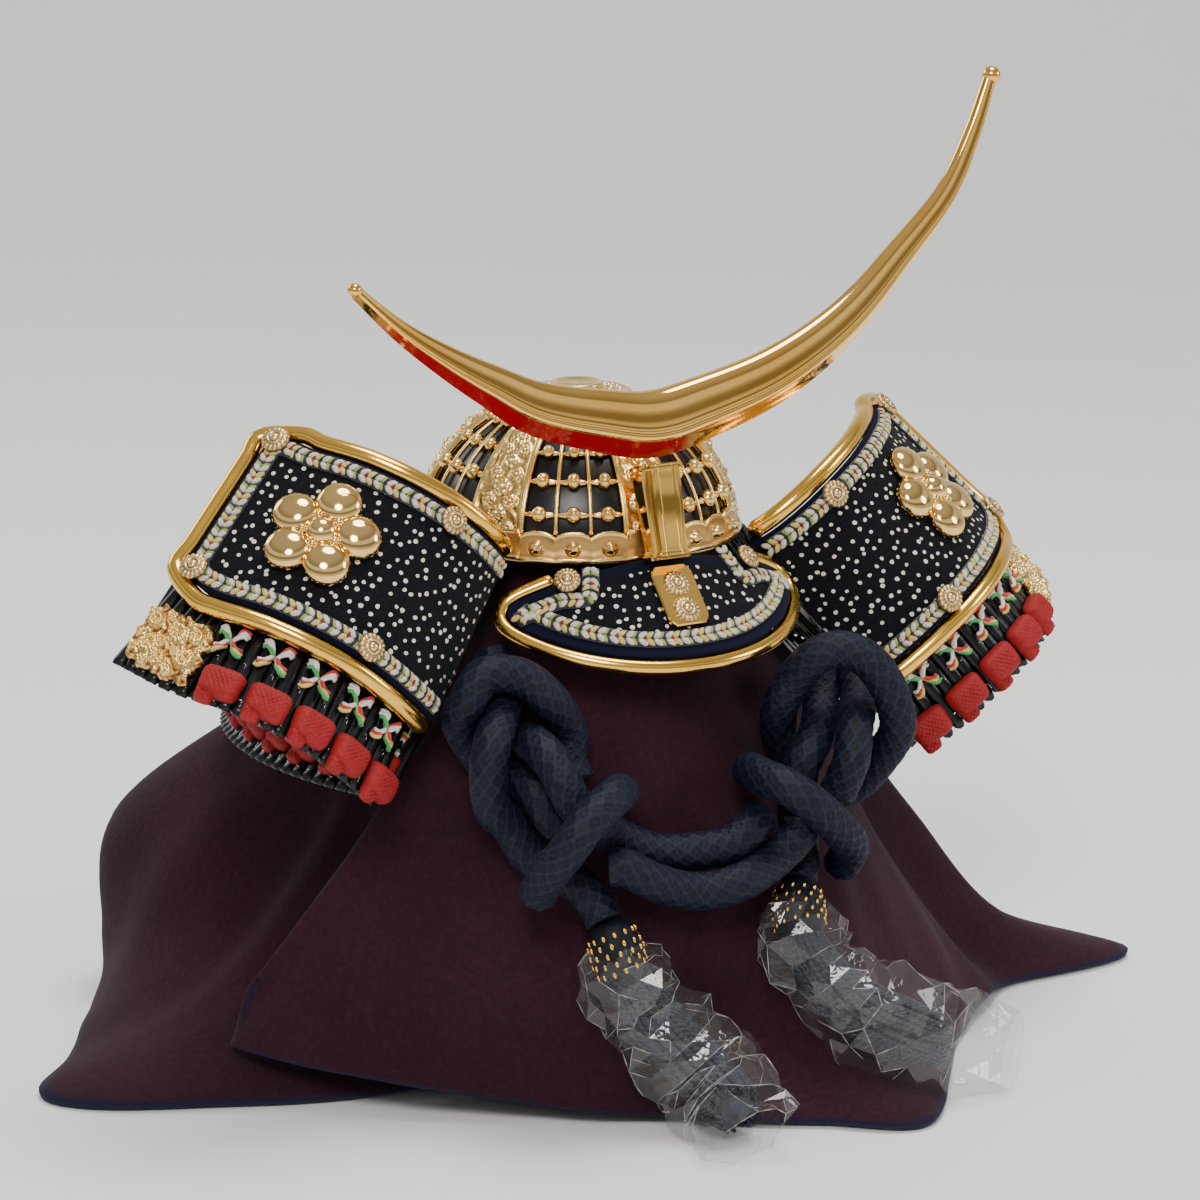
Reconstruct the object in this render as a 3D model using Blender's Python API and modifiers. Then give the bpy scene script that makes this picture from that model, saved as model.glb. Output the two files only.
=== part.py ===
"""A small display samurai helmet on its cloth-draped stand. Metres, +Z up, front towards -Y."""
import math

import bmesh
import bpy
import numpy as np
from mathutils import Vector

mm = 0.001
gap = 0.3 * mm

# Helmet bowl
bowl_base_z = 98 * mm
bowl_radius = 29.9 * mm
bowl_height = 26.8 * mm
bowl_wall = 1.5 * mm
bowl_sides = 26
cage_wall = 0.9 * mm
sector_count = 6
panel_angle = 21.6
rib_angle = 2.4
bays_per_sector = 3
band_height = 5.7 * mm
band_wall = 1.0 * mm
band_flare = 0.4 * mm
band_sides = 36
finial_radius = 10.5 * mm
finial_disc_radius = 5.1 * mm
finial_disc_height = 1.1 * mm

# Peak
peak_slope = 46.0
peak_half_angle = 47.0
peak_depth = 14.6 * mm
peak_end_lift = 6.0 * mm
peak_wall = 1.5 * mm
peak_rim_radius = 1.25 * mm
peak_margin = 3.6 * mm
peak_end_power = 2.8
peak_rim_spacing = 3.0 * mm
peak_rivet_angle = 31.5
peak_rivet_down = 4.6 * mm

# Crest and its holder
holder_lean = 16.0
holder_height = 17.6 * mm
holder_top_width = 8.4 * mm
holder_base_width = 7.2 * mm
holder_depth = 5.0 * mm
holder_wall = 1.0 * mm
tab_length = 12.8 * mm
tab_width = 8.6 * mm
tab_wall = 0.9 * mm
crest_lean = 10.0
crest_width = 12.9 * mm
crest_thickness = 5.2 * mm
crest_reach_long = 79 * mm
crest_reach_short = 58 * mm
crest_rise_long = 59 * mm
crest_rise_short = 29.5 * mm
crest_tip_radius = 1.8 * mm
tang_length = 9.0 * mm
tang_width = 5.2 * mm
tang_thickness = 1.6 * mm

# Neck guard and the flaps turned out of its front ends
guard_roll = 2.7
guard_front_angle = 57.0
guard_slope = 49.0
guard_end_angle = 0.8
flap_turn = 63.5
flap_slope = 41.7
flap_height = 34.8 * mm
lower_lame_height = 19.6 * mm
lame_count = 3
lame_wall = 1.4 * mm
lame_overlap = 1.5 * mm
guard_height = flap_height + lower_lame_height - lame_overlap
lame_step = 0.6 * mm
flap_wall = 1.6 * mm
flap_blend = 0.45
flap_reach = 37.3 * mm
flap_sweep = 16.7 * mm
flap_rise = 21.6 * mm
flap_rim_radius = 1.75 * mm
rim_spacing = 5.6 * mm
slat_setback = 4.0 * mm
slat_overhang = 4.0 * mm
fitting_length = 15.5 * mm
fitting_height = 12.8 * mm
fitting_wall = 1.8 * mm
fitting_drop = 11.4 * mm
red_lace_width = 6.8 * mm
red_lace_height = 2.8 * mm
red_lace_drop = 15.6 * mm
red_lace_blocks = 5
cross_lace_width = 4.4 * mm
cross_lace_height = 0.9 * mm
cross_lace_drop = 6.4 * mm
lace_clearance = 2.2 * mm

# Braid, rivets and plum ornaments
braid_width = 4.0 * mm
braid_height = 0.9 * mm
flap_margin = 2.3 * mm
rivet_radius = 2.7 * mm
rivet_height = 1.3 * mm
plum_petal_radius = 4.35 * mm
plum_petal_height = 2.6 * mm
plum_petal_circle = 6.7 * mm
plum_heart_radius = 3.1 * mm
plum_heart_height = 3.4 * mm

# Stand and cloth
foot_radius = 42 * mm
foot_height = 4 * mm
post_radius = 7 * mm
stand_sides = 20
head_clearance = 4.7 * mm
head_edge = 3 * mm
head_neck = 7 * mm
foot_chamfer = 1.5 * mm
cloth_wall = 1.2 * mm
cloth_ease = 0.4 * mm
cloth_reach = 100 * mm
cap_turns = (14, 34, 54, 76)
cloth_drops = (0.04, 0.2, 0.36, 0.52, 0.68, 0.84, 1.0)

# Cords and tassels
cord_radius = 3.45 * mm
tassel_radius = 5.5 * mm

peak_hub = bowl_radius + band_flare + band_wall
guard_top_radius = peak_hub + gap + lame_wall * math.sin(math.radians(guard_slope))
guard_top_z = bowl_base_z + 0.8 * mm
peak_start_radius = peak_hub + gap + peak_wall * math.sin(math.radians(peak_slope))
head_radius = bowl_radius - cage_wall - gap - bowl_wall - head_clearance
head_height = 0.8 * bowl_height
bowl_inner_top = bowl_base_z + bowl_height - cage_wall - gap - bowl_wall
cloth_gap = gap + cloth_wall + cloth_ease
head_base_z = bowl_inner_top - gap - cloth_ease - cloth_gap - head_height
guard_out = math.cos(math.radians(guard_slope))
guard_down = math.sin(math.radians(guard_slope))
guard_way = np.array([guard_out * math.sin(math.radians(guard_front_angle)),
                      -guard_out * math.cos(math.radians(guard_front_angle)), -guard_down])
flap_out = math.cos(math.radians(flap_slope))
flap_way = np.array([flap_out * math.sin(math.radians(flap_turn)),
                     -flap_out * math.cos(math.radians(flap_turn)),
                     -math.sin(math.radians(flap_slope))])

# The turned-out flap seen along its slope, from the neck guard's front end to its outer edge:
# how far out, forward and up it lies, as shares of flap_reach, flap_sweep and flap_rise
flap_profile = [
    (0.00, 0.00, 0.00),
    (-0.02, 0.20, -0.06),
    (0.06, 0.37, 0.07),
    (0.20, 0.46, 0.28),
    (0.38, 0.41, 0.51),
    (0.57, 0.21, 0.70),
    (0.74, -0.11, 0.83),
    (0.89, -0.52, 0.90),
    (1.00, -1.00, 1.00),
]

# Each horn of the crescent, from its middle to its tip: shares of its reach and rise, and of
# crest_width
long_horn = [
    (0.12, 0.008, 1.00),
    (0.34, 0.086, 0.88),
    (0.54, 0.258, 0.67),
    (0.70, 0.437, 0.51),
    (0.852, 0.669, 0.39),
    (0.938, 0.823, 0.31),
    (1.000, 1.000, 0.24),
]
short_horn = [
    (0.16, 0.013, 0.96),
    (0.41, 0.200, 0.76),
    (0.565, 0.352, 0.63),
    (0.72, 0.536, 0.43),
    (0.87, 0.743, 0.25),
    (1.00, 1.000, 0.18),
]

# Folds of the cloth in the order they lie round the sheet. Angles run from the front towards +X:
# first where the fold starts under the bowl, then where its hem lies. The rest are shares of
# cloth_reach: the radius at the neck, upper, lower, foot and hem, and the hem's height off the floor.
cloth_folds = [
    (-176, -172, 0.34, 0.46, 0.60, 0.78, 0.98, 0.000),
    (-162, -158, 0.35, 0.46, 0.58, 0.72, 0.84, 0.000),
    (-148, -144, 0.38, 0.52, 0.76, 0.84, 0.88, 0.000),
    (-134, -130, 0.42, 0.62, 0.93, 0.955, 0.96, 0.000),
    (-122, -116, 0.38, 0.54, 0.80, 0.88, 0.96, 0.000),
    (-110, -102, 0.34, 0.46, 0.60, 0.78, 1.01, 0.000),
    (-98, -91, 0.32, 0.42, 0.52, 0.72, 1.106, 0.000),
    (-88, -78, 0.31, 0.39, 0.46, 0.57, 0.82, 0.000),
    (-80, -62, 0.30, 0.37, 0.41, 0.46, 0.56, 0.000),
    (-74, -50, 0.30, 0.36, 0.38, 0.41, 0.45, 0.004),
    (-68, -58, 0.31, 0.40, 0.45, 0.50, 0.53, 0.014),
    (-62, -78, 0.33, 0.46, 0.56, 0.66, 0.70, 0.050),
    (-56, -84, 0.35, 0.50, 0.63, 0.74, 0.79, 0.080),
    (-48, -70, 0.35, 0.48, 0.60, 0.69, 0.73, 0.070),
    (-38, -50, 0.34, 0.46, 0.56, 0.62, 0.65, 0.045),
    (-26, -30, 0.33, 0.45, 0.54, 0.60, 0.62, 0.015),
    (-12, -9, 0.32, 0.44, 0.53, 0.60, 0.66, 0.000),
    (2, 6, 0.31, 0.43, 0.53, 0.64, 0.78, 0.000),
    (14, 16, 0.31, 0.42, 0.53, 0.68, 0.905, 0.000),
    (28, 29, 0.31, 0.42, 0.52, 0.65, 0.82, 0.000),
    (42, 46, 0.32, 0.45, 0.56, 0.68, 0.76, 0.000),
    (56, 61, 0.32, 0.45, 0.58, 0.73, 0.81, 0.020),
    (67, 70, 0.32, 0.44, 0.57, 0.73, 0.89, 0.000),
    (78, 78, 0.33, 0.50, 0.68, 0.88, 1.18, 0.000),
    (92, 92, 0.33, 0.50, 0.66, 0.80, 0.98, 0.000),
    (112, 112, 0.33, 0.46, 0.58, 0.70, 0.82, 0.000),
    (134, 134, 0.34, 0.47, 0.60, 0.72, 0.86, 0.000),
    (156, 160, 0.35, 0.50, 0.68, 0.88, 1.12, 0.000),
]

# Heights of the cloth's rings as shares of bowl_base_z, from the neck to the hem; each takes its
# radius from the next column of cloth_folds
cloth_levels = [0.84, 0.63, 0.37, 0.12, 0.0]
first_level_column = 2

# The crest's cross-section: shares of its width up the front face, and of its thickness outwards
crest_section = [
    (0.50, -0.10), (0.46, 0.22), (0.32, 0.42), (0.12, 0.50), (-0.10, 0.48), (-0.24, 0.40),
    (-0.36, 0.36), (-0.44, 0.12), (-0.50, -0.36), (-0.30, -0.48), (0.10, -0.50), (0.40, -0.36),
]

# Cord routes in millimetres, chosen along the strands as they hang, cross and lie on the cloth
cord_routes = {
    "cord_left": [(-31.5, -25, 83), (-32, -29.5, 77.5), (-35.5, -36.5, 75), (-40.5, -42.5, 71.5),
                  (-42, -43.5, 66.5), (-41, -43, 59.5), (-37, -42.5, 55), (-34, -43.5, 49.5),
                  (-30, -47, 46.5), (-27, -50.5, 44.5), (-25, -53, 41), (-24.5, -55, 38.5)],
    "loop_left": [(-29.5, -47, 55), (-31, -46.5, 57.5), (-33, -44.5, 61.5), (-35, -39, 63),
                  (-37, -34, 64.5), (-39.5, -32, 68.3), (-42.8, -34, 73.8), (-42.6, -37.2, 78.8),
                  (-39, -37.5, 82.6), (-32.5, -39, 81.5), (-28, -41.5, 77), (-24, -40.5, 70.5),
                  (-24.5, -41.5, 65.5), (-24, -43.5, 62)],
    "link_upper": [(-31, -37, 69), (-32.5, -44.5, 70), (-31.5, -49.5, 67), (-30, -52.5, 62),
                   (-26.5, -53.5, 57), (-20, -50, 53), (-13.5, -52, 49.5), (-7, -54.5, 49),
                   (0.5, -56, 49.5), (5.5, -56, 52), (8.5, -54, 53)],
    "link_lower": [(-24, -56, 49), (-21.5, -57.5, 49), (-16.5, -59, 46), (-8, -59.5, 43),
                   (0, -61.5, 44), (9.5, -58, 46), (15, -57.5, 50), (15.5, -57, 53)],
    "wrap_left": [(-20.5, -53.5, 62), (-25, -59, 63), (-31.5, -62, 60.5), (-35.5, -62, 56),
                  (-37, -58, 51), (-37, -52.5, 45)],
    "cord_right": [(29.5, -39, 78.5), (29.5, -40.5, 73.5), (28, -44, 69.5), (23, -50.5, 66),
                   (18.5, -52.5, 61), (19, -50, 53), (19.5, -50.5, 47), (18.2, -53, 42.8),
                   (16.7, -55, 40)],
    "hanger_right": [(23.5, -57, 56), (26, -58, 63), (28.5, -55, 68), (34, -47.5, 70.5),
                     (37.5, -40, 74)],
    "loop_right": [(23.5, -42, 57.5), (19.5, -43, 64.5), (18, -45.5, 71), (20, -47.5, 76.5),
                   (22.5, -50.5, 81), (26.5, -52.5, 82.5), (31, -55, 80.5), (34.5, -57, 75),
                   (37, -56.5, 67), (36, -52, 60), (33.5, -48.5, 55), (29.5, -46, 52.5)],
    "wrap_right": [(9, -49.5, 61), (8, -56.5, 61.5), (10, -61.8, 60.6), (14.5, -64, 57),
                   (21, -62, 51), (26, -58, 46), (27, -53.5, 41)],
}
tassel_routes = {
    "tassel_left": [(-24.3, -55.5, 37.9), (-23.9, -56.8, 36), (-22.6, -58.7, 30), (-18.5, -61, 22),
                    (-12.5, -65.5, 13.5), (-9.5, -70.5, 8.5), (-9.5, -77, 6.8)],
    "tassel_right": [(16.4, -55.4, 39.5), (15.3, -56.9, 37.4), (13.6, -60.8, 33), (13.7, -64.8, 28),
                     (19.5, -69.3, 20), (29, -72.4, 14.2), (37, -73.6, 10.6)],
}

# A tassel from its cord's end to the ends of its threads: shares of its length and of its radius,
# and how deep its locks are cut
tassel_profile = [
    (0.00, 0.55, 0.00), (0.03, 0.78, 0.00), (0.10, 0.92, 0.00), (0.19, 0.86, 0.00),
    (0.25, 0.66, 0.00), (0.30, 0.78, 0.05), (0.45, 0.92, 0.07), (0.65, 0.97, 0.08),
    (0.85, 1.00, 0.09), (1.00, 0.92, 0.10),
]


def start_scene():
    for item in list(bpy.data.objects):
        bpy.data.objects.remove(item, do_unlink=True)
    made = bpy.data.collections.new("samurai_helmet_on_stand")
    bpy.context.scene.collection.children.link(made)
    return made


def material(name, colour, roughness, metallic=0.0):
    finish = bpy.data.materials.new(name)
    finish.use_nodes = True
    shader = finish.node_tree.nodes["Principled BSDF"]
    shader.inputs["Base Color"].default_value = (*colour, 1.0)
    shader.inputs["Roughness"].default_value = roughness
    shader.inputs["Metallic"].default_value = metallic
    return finish


def add_object(name, data, finish, parent=None):
    item = bpy.data.objects.new(name, data)
    data.materials.append(finish)
    model.objects.link(item)
    if parent is not None:
        item.parent = parent
        item.location = -parent.location
    return item


def tilted_group(name, roll):
    """An empty at the bowl's base whose roll leans every piece under it to one side."""
    group = bpy.data.objects.new(name, None)
    model.objects.link(group)
    group.location = (0, 0, bowl_base_z)
    group.rotation_euler = (0, math.radians(roll), 0)
    return group


def grid_mesh(name, rows, closed_across=False):
    """A mesh of quads through rows of points; closed_across joins each row's end to its start."""
    work = bmesh.new()
    lines = [[work.verts.new(point) for point in row] for row in rows]
    across = len(rows[0])
    for upper, lower in zip(lines, lines[1:]):
        for i in range(across if closed_across else across - 1):
            j = (i + 1) % across
            work.faces.new((upper[i], upper[j], lower[j], lower[i]))
    mesh = bpy.data.meshes.new(name)
    work.to_mesh(mesh)
    work.free()
    return mesh


def loft(name, sections, finish, parent=None):
    """A closed solid through rings of points, capped at both ends."""
    work = bmesh.new()
    rings = [[work.verts.new(point) for point in section] for section in sections]
    count = len(rings[0])
    for near, far in zip(rings, rings[1:]):
        for i in range(count):
            j = (i + 1) % count
            work.faces.new((near[i], near[j], far[j], far[i]))
    work.faces.new(rings[0])
    work.faces.new(rings[-1])
    bmesh.ops.recalc_face_normals(work, faces=work.faces)
    mesh = bpy.data.meshes.new(name)
    work.to_mesh(mesh)
    work.free()
    return add_object(name, mesh, finish, parent)


def sheet(name, mesh, wall, finish, parent=None, offset=-1.0):
    item = add_object(name, mesh, finish, parent)
    solid = item.modifiers.new("wall", "SOLIDIFY")
    solid.thickness = wall
    solid.offset = offset
    solid.use_even_offset = True
    return item


def turned(name, profile, finish, sides, parent=None):
    """A turned piece: profile points (radius, height) run down its outer side."""
    mesh = bpy.data.meshes.new(name)
    mesh.from_pydata([(radius, 0, height) for radius, height in profile],
                     [(i, i + 1) for i in range(len(profile) - 1)], [])
    item = add_object(name, mesh, finish, parent)
    spin = item.modifiers.new("turn", "SCREW")
    spin.steps = sides
    spin.render_steps = sides
    spin.use_merge_vertices = True
    spin.merge_threshold = 0.00001
    return item


def tube(name, points, radius, finish, parent=None, resolution=2, closed=False):
    """A round tube along a path of close points."""
    data = bpy.data.curves.new(name, "CURVE")
    data.dimensions = "3D"
    data.bevel_depth = radius
    data.bevel_resolution = resolution
    data.use_fill_caps = True
    spline = data.splines.new("POLY")
    spline.points.add(len(points) - 1)
    for place, point in zip(spline.points, points):
        place.co = (*point, 1.0)
    spline.use_cyclic_u = closed
    return add_object(name, data, finish, parent)


def smooth_path(route, spacing):
    """Evenly spaced points along a smooth curve through a route's points."""
    route = np.array(route, float)
    ends = np.vstack([2 * route[0] - route[1], route, 2 * route[-1] - route[-2]])
    fine = []
    for a, b, c, d in zip(ends, ends[1:], ends[2:], ends[3:]):
        for t in np.linspace(0, 1, 24, endpoint=False):
            fine.append(0.5 * (2 * b + (c - a) * t + (2 * a - 5 * b + 4 * c - d) * t ** 2
                               + (3 * b - a - 3 * c + d) * t ** 3))
    fine.append(route[-1])
    fine = np.array(fine)
    along = np.concatenate([[0], np.cumsum(np.linalg.norm(np.diff(fine, axis=0), axis=1))])
    count = max(2, round(along[-1] / spacing) + 1)
    places = np.linspace(0, along[-1], count)
    return np.stack([np.interp(places, along, fine[:, k]) for k in range(3)], axis=1)


def table_curve(rows, share):
    """A smooth reading of a table at share 0 to 1 of its length; past the end it runs on straight."""
    rows = np.array(rows, float)
    last = len(rows) - 1
    place = share * last
    i = int(min(max(math.floor(place), 0), last - 1))
    t = place - i
    before = rows[i - 1] if i > 0 else 2 * rows[0] - rows[1]
    after = rows[i + 2] if i + 2 <= last else 2 * rows[last] - rows[last - 1]
    here, there = rows[i], rows[i + 1]
    if t > 1:
        return there + (t - 1) * (there - here)
    return 0.5 * (2 * here + (there - before) * t
                  + (2 * before - 5 * here + 4 * there - after) * t ** 2
                  + (3 * here - before - 3 * there + after) * t ** 3)


def polar(radius, angle, height):
    turn = math.radians(angle)
    return np.array([radius * math.sin(turn), -radius * math.cos(turn), height])


def ribbon(name, surface, route, width, height, finish, parent=None, lift=gap, swell=None):
    """A flat strip laid on surface(across, down) along a route of surface places."""
    frames = []
    for place in route:
        point, normal = surface(*place)
        frames.append((point, normal))
    points = np.array([point for point, normal in frames])
    sections = []
    for i, (point, normal) in enumerate(frames):
        along = points[min(i + 1, len(points) - 1)] - points[max(i - 1, 0)]
        along /= np.linalg.norm(along)
        side = np.cross(normal, along)
        side /= np.linalg.norm(side)
        top = height if swell is None else height * swell(i / (len(points) - 1))
        low = point + normal * lift
        high = point + normal * (lift + top)
        sections.append([low - side * width / 2, low + side * width / 2,
                         high + side * width * 0.36, high - side * width * 0.36])
    return loft(name, sections, finish, parent)


def set_on(item, point, normal, parent):
    """Places a piece modelled on the floor plane at a point, facing along normal."""
    turn = Vector((0, 0, 1)).rotation_difference(Vector(normal))
    item.rotation_euler = turn.to_euler()
    item.location = Vector(point) - (parent.location if parent is not None else Vector())


def rivet(name, point, normal, finish, parent=None, radius=rivet_radius, lift=None):
    lift = gap + braid_height + gap if lift is None else lift
    profile = [(0, rivet_height), (radius * 0.7, rivet_height * 0.8), (radius, 0), (0, 0)]
    item = turned(name, profile, finish, 12, parent)
    set_on(item, np.array(point) + np.array(normal) * lift, normal, parent)
    return item


def dome_profile(radius, height, count):
    """Points down a quarter ellipse, from its top to its rim."""
    return [(radius * math.sin(turn), height * math.cos(turn))
            for turn in np.linspace(0, math.pi / 2, count)]


def make_bowl():
    outer_radius = bowl_radius - cage_wall - gap
    outer_height = bowl_height - cage_wall - gap
    outer = dome_profile(outer_radius, outer_height, 6)
    inner = dome_profile(outer_radius - bowl_wall, outer_height - bowl_wall, 5)[::-1]
    profile = [(radius, bowl_base_z + height) for radius, height in outer + inner]
    profile[0] = (0, profile[0][1])
    profile[-1] = (0, profile[-1][1])
    turned("bowl", profile, black_lacquer, bowl_sides)


def cage_angles():
    """Edges of each sector's broad panel, and of the thin ribs between its bays."""
    sector = 360 / sector_count
    bay = (sector - panel_angle) / bays_per_sector
    edges = [-panel_angle / 2, 0, panel_angle / 2]
    solid = [True, True]
    for i in range(1, bays_per_sector):
        middle = panel_angle / 2 + bay * i
        edges += [middle - rib_angle / 2, middle + rib_angle / 2]
        solid += [False, True]
    solid.append(False)
    return sector, edges, solid


def make_rib_cage():
    """The gilt frame of broad panels and thin ribs over the bowl, open at every bay."""
    sector, edges, solid = cage_angles()
    start = math.asin((finial_radius - 2 * mm) / bowl_radius)
    stop = math.acos((band_height + gap) / bowl_height)
    slopes = np.linspace(start, stop, 6)
    angles = [sector * i + edge for i in range(sector_count) for edge in edges]
    filled = solid * sector_count
    rows = [[polar(bowl_radius * math.sin(slope), angle, bowl_base_z + bowl_height * math.cos(slope))
             for angle in angles] for slope in slopes]
    mesh = grid_mesh("rib_cage", rows, closed_across=True)
    work = bmesh.new()
    work.from_mesh(mesh)
    work.faces.ensure_lookup_table()
    across = len(angles)
    windows = [work.faces[row * across + i] for row in range(1, len(slopes) - 2)
               for i in range(across) if not filled[i]]
    bmesh.ops.delete(work, geom=windows, context="FACES")
    bmesh.ops.recalc_face_normals(work, faces=work.faces)
    work.to_mesh(mesh)
    work.free()
    sheet("rib_cage", mesh, cage_wall, gilt)


def make_base_band():
    low = bowl_radius + band_flare
    high = bowl_radius
    profile = [(high, band_height), (high + band_wall * 0.8, band_height), (low + band_wall, 0),
               (low, 0), (high, band_height)]
    turned("base_band", [(radius, bowl_base_z + height) for radius, height in profile], gilt, band_sides)


def make_finial():
    seat = bowl_base_z + bowl_height * math.cos(math.asin(finial_radius / bowl_radius)) + 2 * gap
    top = bowl_base_z + bowl_height + 2 * gap
    rise = top - seat
    profile = [(0, top + finial_disc_height), (finial_disc_radius, top + finial_disc_height),
               (finial_disc_radius, top), (finial_disc_radius * 0.8, top - 0.2 * mm + gap),
               (finial_radius * 0.75, seat + rise * 0.62), (finial_radius, seat + 0.9 * mm),
               (finial_radius, seat), (finial_radius * 0.7, seat + rise * 0.62 - 0.5 * mm),
               (0, top - 0.1 * mm)]
    turned("finial", profile, gilt, 18)


def peak_point(angle, distance):
    """A point of the peak: angle from the front, distance down its slope from the bowl's band."""
    slope = math.radians(peak_slope)
    return polar(peak_start_radius + distance * math.cos(slope), angle,
                 guard_top_z - distance * math.sin(slope))


def peak_place(across, down):
    """The peak's surface point and normal at an angle and a distance down the slope."""
    slope = math.radians(peak_slope)
    turn = math.radians(across)
    normal = np.array([math.sin(slope) * math.sin(turn), -math.sin(slope) * math.cos(turn),
                       math.cos(slope)])
    return peak_point(across, down), normal


def peak_edge(share):
    """Angle, and distances down the slope, of the peak's rounded outline at a share of its width."""
    lift = peak_end_lift * share * share
    top = lift * 1.1
    bottom = peak_depth / math.cos(math.radians(peak_slope)) - lift
    half = (bottom - top) / 2 * max(1 - abs(share) ** peak_end_power, 0) ** (1 / peak_end_power)
    return peak_half_angle * share, (top + bottom) / 2 - half, (top + bottom) / 2 + half


def peak_outline(grow, spacing, first=-1.0, last=1.0):
    """Even points (angle, distance down) beside the outline, from its top right by the front."""
    shares = np.sin(np.linspace(-math.pi / 2, math.pi / 2, 61))
    corners = [peak_edge(share)[:2] for share in shares if share > first]
    corners += [peak_edge(share)[::2] for share in shares[::-1]]
    corners += [peak_edge(share)[:2] for share in shares if share < last]
    reach = [peak_start_radius + down * math.cos(math.radians(peak_slope)) for across, down in corners]
    flat = np.array([(math.radians(across) * radius, down)
                     for (across, down), radius in zip(corners, reach)])
    along = np.gradient(flat, axis=0)
    along /= np.linalg.norm(along, axis=1)[:, None]
    flat += np.stack([along[:, 1], -along[:, 0]], axis=1) * grow
    walked = np.concatenate([[0], np.cumsum(np.linalg.norm(np.diff(flat, axis=0), axis=1))])
    angles = np.degrees(flat[:, 0] / reach)
    places = np.linspace(0, walked[-1], round(walked[-1] / spacing) + 1)
    return [(np.interp(place, walked, angles), np.interp(place, walked, flat[:, 1])) for place in places]


def make_peak():
    shares = np.sin(np.linspace(-math.pi / 2 + 0.06, math.pi / 2 - 0.06, 23))
    rows = []
    for level in (0.0, 0.25, 0.5, 0.75, 1.0):
        edges = [peak_edge(share) for share in shares]
        rows.append([peak_point(across, top + (bottom - top) * level) for across, top, bottom in edges])
    sheet("peak", grid_mesh("peak", rows[::-1]), peak_wall, black_cloth)


def make_peak_trim():
    points = []
    for across, down in peak_outline(peak_rim_radius + 1.5 * gap, peak_rim_spacing, 0.72, -0.72):
        point, normal = peak_place(across, down)
        points.append(point - normal * peak_wall / 2)
    tube("peak_rim", points, peak_rim_radius, gilt)
    route = peak_outline(-peak_margin, peak_rim_spacing, 0.72, -0.72)
    ribbon("peak_braid", peak_place, route, braid_width, braid_height, braid)
    for side, name in ((-1, "peak_rivet_left"), (1, "peak_rivet_right")):
        point, normal = peak_place(side * peak_rivet_angle, peak_rivet_down)
        rivet(name, point, normal, pale_gilt)


def make_holder():
    """The tapered box that the crest plugs into, and the tab that holds it to the peak."""
    base = polar(peak_hub + gap + holder_depth * 0.75, 0, guard_top_z + gap)
    lean = math.radians(holder_lean)
    rise = np.array([0, math.sin(lean), math.cos(lean)])
    back = np.array([0, math.cos(lean), -math.sin(lean)])
    side = np.array([1.0, 0, 0])

    def ring(height, width, depth):
        centre = base + rise * height
        return [centre + side * x * width / 2 + back * y * depth / 2
                for x, y in ((-1, -1), (1, -1), (1, 1), (-1, 1))]

    inner = 2 * holder_wall
    pocket = tang_length + gap
    loft("crest_holder", [
        ring(0, holder_base_width, holder_depth * 0.8),
        ring(holder_height, holder_top_width, holder_depth),
        ring(holder_height, holder_top_width - inner, holder_depth - inner),
        ring(holder_height - pocket, holder_top_width - inner, holder_depth - inner)], gilt)
    slope_length = peak_depth / math.cos(math.radians(peak_slope))
    tab_end = slope_length - peak_margin - braid_width / 2 - gap
    route = [(0, down) for down in np.linspace(tab_end - tab_length, tab_end, 4)]
    ribbon("crest_tab", peak_place, route, tab_width, tab_wall, gilt)
    for share, name in ((0.32, "tab_rivet_upper"), (0.76, "tab_rivet_lower")):
        point, normal = peak_place(0, route[0][1] + (route[-1][1] - route[0][1]) * share)
        rivet(name, point, normal, pale_gilt, lift=gap + tab_wall + gap)
    return base + rise * holder_height, rise


def horn_stations(rows, side):
    """Middle points and widths along one horn, from the crest's middle out to its tip."""
    reach = crest_reach_long if side > 0 else crest_reach_short
    rise = crest_rise_long if side > 0 else crest_rise_short
    rows = [(0.0, 0.0, 1.0)] + rows
    stations = []
    for share in np.linspace(0, 1, 11):
        out, up, width = table_curve(rows, share)
        stations.append((side * out * reach, up * rise, width * crest_width))
    return stations


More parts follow.
